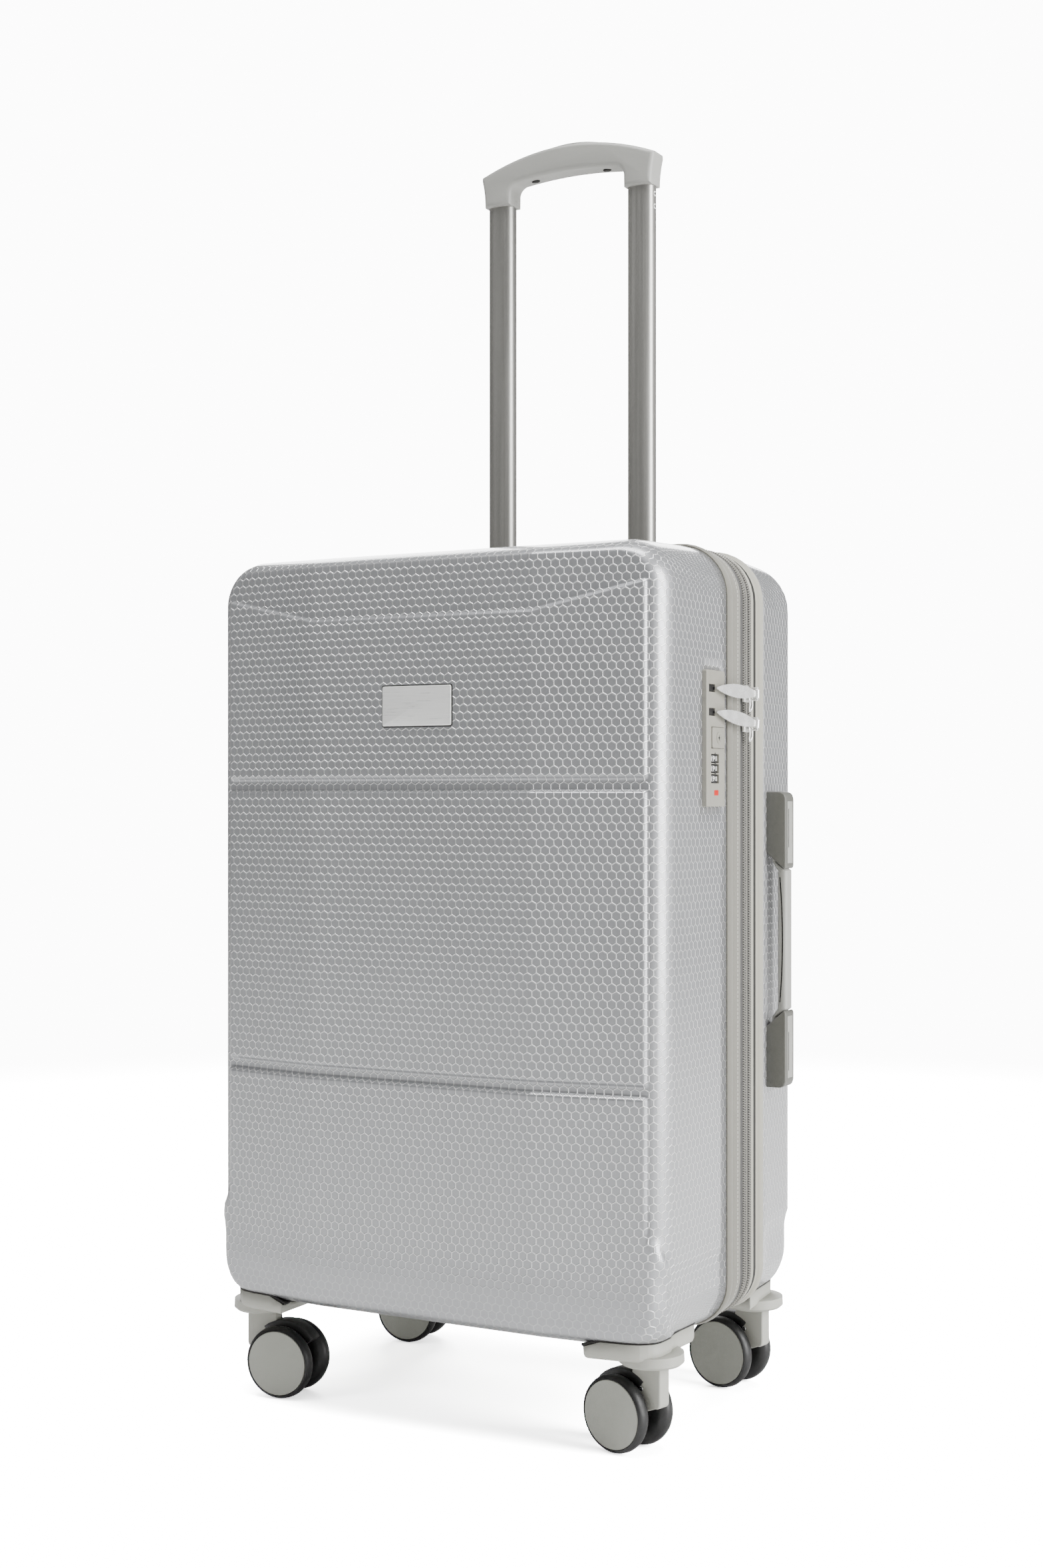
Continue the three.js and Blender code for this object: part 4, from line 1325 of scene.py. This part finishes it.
class SUITCASE_OT_side_handle(bpy.types.Operator):
    """Make the side handle: two dark end mounts with light faces and a dark line of painted shade on each,
    and the bowed grip with dark lines of painted shade along its sides
    """

    bl_idname = "suitcase.side_handle"
    bl_label = "Side handle"

    def execute(self, context):
        seat, proud = 208.1, 225.4
        for level, upper in (("upper", True), ("lower", False)):
            bm = bmesh.new()
            far = 506 if upper else 262
            near = 456 if upper else 312
            out = 1 if upper else -1
            shape = [
                (seat - 1, far), (proud - 5, far), (proud - 1.5, far - out * 1.6), (proud, far - out * 5.5),
                (proud, near - out * 12), (proud - 1.5, near - out * 14),
                (seat + 3, near - out * 3), (seat - 1, near),
            ]
            prism(bm, in_xz(shape, 61.5), (0, 19, 0), 2.2, 4, 15)
            finish_piece(
                bm, "side_mount_" + level, "case", "handle_dark",
                ["side_handle_mount_" + level],
            )
            bm = bmesh.new()
            low, high = sorted((near - out * 9, far - out * 8))
            block(bm, (proud - 0.6, 65.6, low), (proud + 0.35, 76.4, high), 0.3, 2)
            finish_piece(bm, "side_mount_face_" + level, "case", "handle")
            # painted shade: a thin dark strip on each mount's outer face, standing in for the shadow in the
            # gap behind it
            bm = bmesh.new()
            low, high = sorted((near + out * 4, near + out * 36))
            block(bm, (proud + 0.2, 66.9, low), (proud + 0.5, 68.1, high), 0.12, 1)
            finish_piece(bm, "side_mount_shade_line_" + level, "case", "seam")
        low, high = 327.5, 440.5
        middle = (low + high) / 2
        loops = []
        count = 20
        for i in range(27):
            z = low - 36 + (high - low + 72) * i / 26
            t = min(1, max(-1, (z - middle) / ((high - low) / 2)))
            inside_mount = z < low - 1 or z > high + 1
            reach = 2.0 if inside_mount else 4.6
            x = 220.9 if not inside_mount else 213.2
            half = 5.6 if inside_mount else 7.4
            loop = []
            for k in range(count):
                a = 2 * math.pi * k / count
                c, s = math.cos(a), math.sin(a)
                loop.append(
                    (x + reach * squarish(c, 0.7), 71 + half * squarish(s, 0.7), z)
                )
            loops.append(loop)
        bm = bmesh.new()
        rings(bm, loops)
        bmesh.ops.holes_fill(bm, edges=[e for e in bm.edges if e.is_boundary], sides=0)
        finish_piece(bm, "side_grip", "side_handle", "handle", ["side_handle_grip"])
        # painted shade: thin dark strips along both sides of the grip, standing in for the shadow in the gap
        # beside it
        bm = bmesh.new()
        for side in (-1, 1):
            for i in range(24):
                z0 = low + 5 + (high - low - 10) * i / 24
                z1 = low + 5 + (high - low - 10) * (i + 1) / 24
                t0, t1 = ((z - middle) / ((high - low) / 2) for z in (z0, z1))
                x0, x1 = (219.0 + 2.8 * (1 - t * t) for t in (t0, t1))
                y = 71 + side * 7.35
                prism(
                    bm,
                    [
                        (x0 - 0.5, y - 0.1, z0), (x0 + 0.5, y - 0.1, z0),
                        (x1 + 0.5, y - 0.1, z1), (x1 - 0.5, y - 0.1, z1),
                    ],
                    (0, 0.2, 0),
                )
        finish_piece(bm, "side_grip_shade_lines", "side_handle", "seam")
        return {"FINISHED"}


class SUITCASE_OT_top_handle(bpy.types.Operator):
    """Make the top carry handle and its end covers"""

    bl_idname = "suitcase.top_handle"
    bl_label = "Top handle"

    def execute(self, context):
        loops, count = [], 20
        for i in range(31):
            x = -80 + 160 * i / 30
            t = abs(x) / 80
            lift = 7.2 + 2.6 * (1 - t * t) - 3.2 * smooth_step(0.86, 1.0, t)
            thick = 3.3 - 0.9 * smooth_step(0.8, 1.0, t)
            wide = 12.4 - 2.4 * smooth_step(0.75, 1.0, t)
            loop = []
            for k in range(count):
                a = 2 * math.pi * k / count
                c, s = math.cos(a), math.sin(a)
                loop.append(
                    (x, 84 + wide * squarish(c, 0.65), TOP - 1.5 + lift + thick * squarish(s, 0.65))
                )
            loops.append(loop)
        bm = bmesh.new()
        rings(bm, loops)
        bmesh.ops.holes_fill(bm, edges=[e for e in bm.edges if e.is_boundary], sides=0)
        finish_piece(bm, "top_grip", "top_handle", "handle", ["top_handle_grip"])
        for name, side in (("left", -1), ("right", 1)):
            bm = bmesh.new()
            xs = sorted((side * 74, side * 92))
            block(bm, (xs[0], 70.5, 697), (xs[1], 97.5, 708.6), 3.2, 4)
            finish_piece(bm, "top_mount_" + name, "case", "handle_dark")
        return {"FINISHED"}


def tube_outline(grow, steps=8):
    return rounded_rect(-12.5 - grow, 12.5 + grow, -8.5 - grow, 8.5 + grow, 7.5 + grow, steps)


class SUITCASE_OT_trolley(bpy.types.Operator):
    """Make the trolley handle: tubes, arched grip, button, screws, eyelets and the bezel round them"""

    bl_idname = "suitcase.trolley"
    bl_label = "Trolley handle"

    def execute(self, context):
        for name, side in (("left", -1), ("right", 1)):
            for inner, label in ((0, "trolley_tube_"), (2, "trolley_rail_")):
                bm = bmesh.new()
                at = [(side * TUBE_X + x, TUBE_Y + y) for x, y in tube_outline(inner)]
                bore = [(side * TUBE_X + x, TUBE_Y + y) for x, y in tube_outline(inner - 1.5)]
                z0, z1 = (TUBE_TOP - 455, TUBE_TOP + 2) if not inner else (112, 686)
                stations = [z0, (z0 + z1) / 2, z1]
                loops = [in_xy(at, z) for z in stations] + [in_xy(bore, z) for z in reversed(stations)]
                rings(bm, loops, True)
                body = "trolley" if not inner else "case"
                finish_piece(bm, label + "metal_" + name, body, "aluminium", [label + name])
            bm = bmesh.new()
            ring_outer = in_xy([(side * TUBE_X + x, TUBE_Y + y) for x, y in tube_outline(3.2)], 701)
            ring_inner = in_xy([(side * TUBE_X + x, TUBE_Y + y) for x, y in tube_outline(0.35)], 701)
            lift = Vector((0, 0, 1.7))
            raised = [[Vector(p) + lift for p in ring] for ring in (ring_outer, ring_inner)]
            loops = [ring_outer, *raised, ring_inner]
            rings(bm, loops, True)
            bevel(bm, sharp(bm), 0.5, 2)
            finish_piece(bm, "trolley_collar_" + name, "case", "insert")
        bm = bmesh.new()
        prism(bm, in_xy(rounded_rect(-96, 96, 100, 130, 7, 6), 694), (0, 0, 8), 1.6, 3)
        finish_piece(bm, "trolley_bezel_plate", "case", "handle", ["trolley_bezel"])

        under = [(-56.6, 1048)] + arc(-47.6, 1048.5, 9, 180, 98, 7)
        span = [(-48.8, 1057.4)] + curve_points((-48.8, 1057.4), (0, 1063.5), (48.8, 1057.4), 12)
        legs = [(-83.2, TUBE_TOP), (-56.8, TUBE_TOP)]
        over = [(86, 1066)] + curve_points((86, 1066), (0, 1102), (-86, 1066), 22)
        shape = legs + under + span[1:-1] + [(-x, z) for x, z in reversed(under)]
        shape += [(56.8, TUBE_TOP), (83.2, TUBE_TOP)]
        shape += curve_points((83.2, TUBE_TOP), (83.2, 1050), (86.2, 1063), 4)
        shoulder = curve_points((83.2, TUBE_TOP), (83.2, 1050), (86.2, 1063), 4)
        shape += over + [(-x, z) for x, z in reversed(shoulder)]
        bm = bmesh.new()
        prism(bm, in_xz(shape, TUBE_Y - 12), (0, 24, 0), 0)
        rims = [
            e
            for e in bm.edges
            if len(e.link_faces) == 2
            and abs(e.verts[0].co.y - e.verts[1].co.y) < SAME
            and e.calc_face_angle() > 1
        ]
        bevel(bm, rims, 6.5, 6)
        finish_piece(bm, "trolley_grip_arch", "trolley", "grip", ["trolley_grip"], crease=50)
        bm = bmesh.new()
        for side in (-1, 1):
            outer = in_xy([(side * TUBE_X + x, TUBE_Y + y) for x, y in tube_outline(0.9)], TUBE_TOP + 0.1)
            prism(bm, outer, (0, 0, 6.5), 0.5, 2)
        finish_piece(bm, "trolley_grip_collars", "trolley", "grip")
        bm = bmesh.new()
        lens = [(-54, 1075)] + curve_points((-54, 1075), (0, 1100), (54, 1075), 20)
        prism(bm, in_xz(lens, TUBE_Y - 2.5), (0, 11, 0), 2.2, 4, 25)
        finish_piece(bm, "trolley_push_button", "grip_button", "grip", ["grip_button"])
        bm = bmesh.new()
        for side in (-1, 1):
            turned(
                bm,
                [(0, 1057.6), (2.2, 1057.6), (2.6, 1058), (2.6, 1062), (0, 1062)],
                Matrix.Translation((side * 36, TUBE_Y, 0)) @ Matrix.Diagonal((1.5, 1, 1, 1)),
                20,
            )
        finish_piece(bm, "trolley_screws", "trolley", "seam")
        for label, radius, reach, paint in (("rings", 2.3, 0.22, "mark"), ("holes", 1.5, 0.34, "seam")):
            bm = bmesh.new()
            for z in (1031, 1020):
                turned(
                    bm,
                    [(0, -1), (radius, -1), (radius, reach - 0.15), (radius - 0.2, reach), (0, reach)],
                    Matrix.Translation((TUBE_X + 12.5, TUBE_Y, z)) @ Matrix.Rotation(math.pi / 2, 4, "Y"),
                    20,
                )
            finish_piece(bm, "trolley_eyelet_" + label, "trolley", paint)
        return {"FINISHED"}


# ---------------------------------------------------------------- casters
class SUITCASE_OT_casters(bpy.types.Operator):
    """Make the four casters: forks with dark inserts and screws, axles, tyres and wheel caps"""

    bl_idname = "suitcase.casters"
    bl_label = "Casters"

    def execute(self, context):
        for name, (x, y, heading) in CASTERS.items():
            swivel = Matrix.Translation((x, y, 0)) @ Matrix.Rotation(math.radians(heading), 4, "Z")
            body = "caster_" + name
            bm = bmesh.new()
            profile = [(-13, 71.3), (-13, 42)] + curve_points((-13, 42), (-13, 37), (-8, 37), 5)
            profile += [(15, 28), (18, 23.6), (23, 22), (28, 24), (30.5, 29), (29, 35)]
            profile += curve_points((29, 35), (20, 46), (14.5, 62), 6) + [(13, 71.3)]
            prism(bm, in_xz(profile, -6), (0, 12, 0), 1.3, 3, 30)
            turned(bm, [(0, 67), (12, 67), (12, 71.4), (0, 71.4)], Matrix.Identity(4), 32)
            finish_piece(bm, "fork_stem_" + name, body, "guard", ["fork_" + name], turn=swivel)
            bm = bmesh.new()
            hood = [(1.5, 62)]
            for i in range(10):
                a = math.radians(128 - 92 * i / 9)
                hood.append((TRAIL + 33.0 * math.cos(a), WHEEL_RADIUS + 33.0 * math.sin(a)))
            low = []
            for i in range(10):
                a = math.radians(36 + 92 * i / 9)
                low.append((TRAIL + 23 * math.cos(a), WHEEL_RADIUS + 23 * math.sin(a)))
            prism(bm, in_xz(hood[1:] + low, -6.4), (0, 12.8, 0), 0.7, 2, 30)
            finish_piece(bm, "fork_insert_" + name, body, "insert", turn=swivel)
            bm = bmesh.new()
            for side in (-1, 1):
                sideways = Matrix.Rotation(-side * math.pi / 2, 4, "X")
                spot = Matrix.Translation((4.5, side * 6.6, 51)) @ sideways
                screw = [(0, -1), (1.9, -1), (1.9, 0.3), (1.4, 0.7), (0.7, 0.7), (0.5, 0.2), (0, 0.2)]
                turned(bm, screw, spot, 16)
            finish_piece(bm, "fork_screw_" + name, body, "steel", turn=swivel)
            bm = bmesh.new()
            on_axle = Matrix.Translation((TRAIL, 0, WHEEL_RADIUS)) @ Matrix.Rotation(math.pi / 2, 4, "X")
            turned(bm, [(0, -17.5), (2.6, -17.5), (3.0, -17), (3.0, 17), (2.6, 17.5), (0, 17.5)], on_axle, 24)
            finish_piece(bm, "axle_pin_" + name, body, "steel", ["axle_" + name], turn=swivel)
            for letter, side in (("a", -1), ("b", 1)):
                sideways = Matrix.Rotation(-side * math.pi / 2, 4, "X")
                lay = swivel @ Matrix.Translation((TRAIL, 0, WHEEL_RADIUS)) @ sideways
                tyre = [
                    (3.6, 6.7), (20, 6.7), (24.5, 7.6), (27.8, 9.4), (29.4, 11.8),
                    (30, 14.5), (29.7, 17), (28.9, 19.2),
                    (27.6, 20.7), (27.0, 21.0), (26.7, 20.6), (26.6, 19.2), (3.6, 19.2), (3.6, 6.7),
                ]
                bm = bmesh.new()
                turned(bm, tyre, lay, 72)
                wheel_body = "wheel_%s_%s" % (name, letter)
                finish_piece(
                    bm, "tyre_%s_%s" % (name, letter), wheel_body, "tyre",
                    ["wheel_%s_%s" % (name, letter)],
                )
                cap = [
                    (0, 19.0), (26.4, 19.0), (26.4, 20.5), (26.0, 20.9), (24, 21.0), (12, 21.15), (0, 21.2),
                ]
                bm = bmesh.new()
                turned(bm, cap, lay, 72)
                finish_piece(
                    bm, "wheel_disc_%s_%s" % (name, letter), wheel_body, "wheel_cap",
                    ["wheel_cap_%s_%s" % (name, letter)],
                )
        return {"FINISHED"}


# ---------------------------------------------------------------- stage
FLOOR_HALF = 60  # metres from the middle of the floor to its edge


class SUITCASE_OT_stage(bpy.types.Operator):
    """Make the pale floor, the soft lights and the camera"""

    bl_idname = "suitcase.stage"
    bl_label = "Stage"

    def execute(self, context):
        settings = context.scene.suitcase
        floor_paint = Paint("floor_white", "efefee", 0.7)
        floor_paint.feed(Base_Color=floor_paint.shade(floor_paint.noise(2, 2), 0.99, 1.01))
        # what the camera sees of the floor is exposed brighter than what the object gets from it
        seen = floor_paint.node("ShaderNodeLightPath", output="Is Camera Ray")
        bright = floor_paint.node(
            "ShaderNodeBsdfDiffuse", inputs={"Color": (settings.white, settings.white, settings.white, 1)}
        )
        x, y, _ = floor_paint.axes(floor_paint.place())
        away = (x * x + y * y).ramp(1.0, 6.0)
        glow = floor_paint.node("ShaderNodeEmission", inputs={"Strength": settings.backdrop})
        faded = floor_paint.node("ShaderNodeMixShader", inputs={0: away, 1: bright, 2: glow})
        plain = Value(floor_paint, floor_paint.shader.outputs[0])
        both = floor_paint.node("ShaderNodeMixShader", inputs={0: seen, 1: plain, 2: faded})
        output = next(n for n in floor_paint.tree.nodes if n.type == "OUTPUT_MATERIAL")
        floor_paint.tree.links.new(both.socket, output.inputs["Surface"])
        bm = bmesh.new()
        bmesh.ops.create_grid(bm, x_segments=1, y_segments=1, size=FLOOR_HALF)
        mesh = bpy.data.meshes.new("floor")
        bm.to_mesh(mesh)
        bm.free()
        floor = bpy.data.objects.new("floor", mesh)
        context.scene.collection.objects.link(floor)
        floor.data.materials.append(floor_paint.material)
        world = bpy.data.worlds.new("studio")
        world.use_nodes = True
        tree = world.node_tree
        seen = tree.nodes.new("ShaderNodeLightPath")
        strength = tree.nodes.new("ShaderNodeMapRange")
        strength.inputs["To Min"].default_value = settings.sky
        strength.inputs["To Max"].default_value = settings.backdrop
        tree.links.new(seen.outputs["Is Camera Ray"], strength.inputs["Value"])
        background = tree.nodes["Background"]
        background.inputs["Color"].default_value = (1, 1, 1, 1)
        tree.links.new(strength.outputs[0], background.inputs["Strength"])
        context.scene.world = world
        aim = Vector((0, 0, 0.45))  # about the middle of the case
        for name, spot, width, height, power in (
            ("key", (3.2, 0.1, 1.3), 1.5, 2.6, settings.key),
            ("fill", (-2.2, -3.4, 1.6), 1.4, 2.6, settings.key * 0.16),
            ("top", (0.2, -0.5, 3.6), 2.6, 1.4, settings.key * 0.8),
            ("back", (-1.6, 3.0, 2.2), 2.0, 1.6, settings.key * 0.4),
        ):
            light = bpy.data.lights.new(name, "AREA")
            light.shape = "RECTANGLE"
            light.size, light.size_y = width, height
            light.energy = power
            lamp = bpy.data.objects.new(name, light)
            lamp.location = spot
            lamp.rotation_euler = (aim - Vector(spot)).to_track_quat("-Z", "Y").to_euler()
            lamp.visible_glossy = name != "fill"
            context.scene.collection.objects.link(lamp)
        camera = bpy.data.cameras.new("camera")
        camera.lens = 47.52
        camera.sensor_width = 36
        camera.sensor_fit = "AUTO"
        camera.shift_y = 0.0095
        camera.clip_end = 200
        holder = bpy.data.objects.new("camera", camera)
        holder.location = CASE_ORIGIN + Vector((847.5, -1536, 500)) * MM
        holder.rotation_euler = (math.pi / 2, 0, math.radians(28.55))
        context.scene.collection.objects.link(holder)
        context.scene.camera = holder
        return {"FINISHED"}


# ---------------------------------------------------------------- add-on
class SuitcaseSettings(bpy.types.PropertyGroup):
    """What a user would change"""

    hexagon: FloatProperty(
        name="Hexagon width", description="Width of an embossed hexagon across its flats", default=0.007,
        min=0.003, max=0.02, subtype="DISTANCE", unit="LENGTH",
    )
    relief: FloatProperty(
        name="Hexagon relief", description="Height of the embossed lines", default=0.0004,
        min=0.0, max=0.002, subtype="DISTANCE", unit="LENGTH", precision=5,
    )
    key: FloatProperty(
        name="Key light", description="Power of the main light", default=235, min=0, unit="POWER",
    )
    sky: FloatProperty(
        name="Surrounding light", description="Strength of the white surroundings", default=0.26, min=0,
    )
    backdrop: FloatProperty(name="Backdrop", description="How bright the background looks", default=12, min=0)
    white: FloatProperty(name="Floor", description="How bright the floor looks", default=15, min=0)


PIECES = (
    SUITCASE_OT_shells,
    SUITCASE_OT_guards,
    SUITCASE_OT_bindings,
    SUITCASE_OT_zips,
    SUITCASE_OT_linings,
    SUITCASE_OT_lock,
    SUITCASE_OT_pullers,
    SUITCASE_OT_nameplate,
    SUITCASE_OT_side_handle,
    SUITCASE_OT_top_handle,
    SUITCASE_OT_trolley,
    SUITCASE_OT_casters,
)


class SUITCASE_PT_panel(bpy.types.Panel):
    """Lists the suitcase's settings and what makes its pieces"""

    bl_idname = "SUITCASE_PT_panel"
    bl_label = "Suitcase"
    bl_space_type = "VIEW_3D"
    bl_region_type = "UI"
    bl_category = "Suitcase"

    def draw(self, context):
        for name in SuitcaseSettings.__annotations__:
            self.layout.prop(context.scene.suitcase, name)
        for operator in (SUITCASE_OT_stage,) + PIECES:
            self.layout.operator(operator.bl_idname)


CLASSES = (SuitcaseSettings, SUITCASE_OT_stage) + PIECES + (SUITCASE_PT_panel,)


def register():
    for cls in CLASSES:
        bpy.utils.register_class(cls)
    bpy.types.Scene.suitcase = PointerProperty(type=SuitcaseSettings)


def unregister():
    del bpy.types.Scene.suitcase
    for cls in reversed(CLASSES):
        bpy.utils.unregister_class(cls)


def main():
    register()
    make_paints(bpy.context.scene.suitcase)
    bpy.ops.suitcase.stage()
    for operator in PIECES:
        getattr(bpy.ops.suitcase, operator.bl_idname.split(".")[1])()


if __name__ == "__main__":
    main()
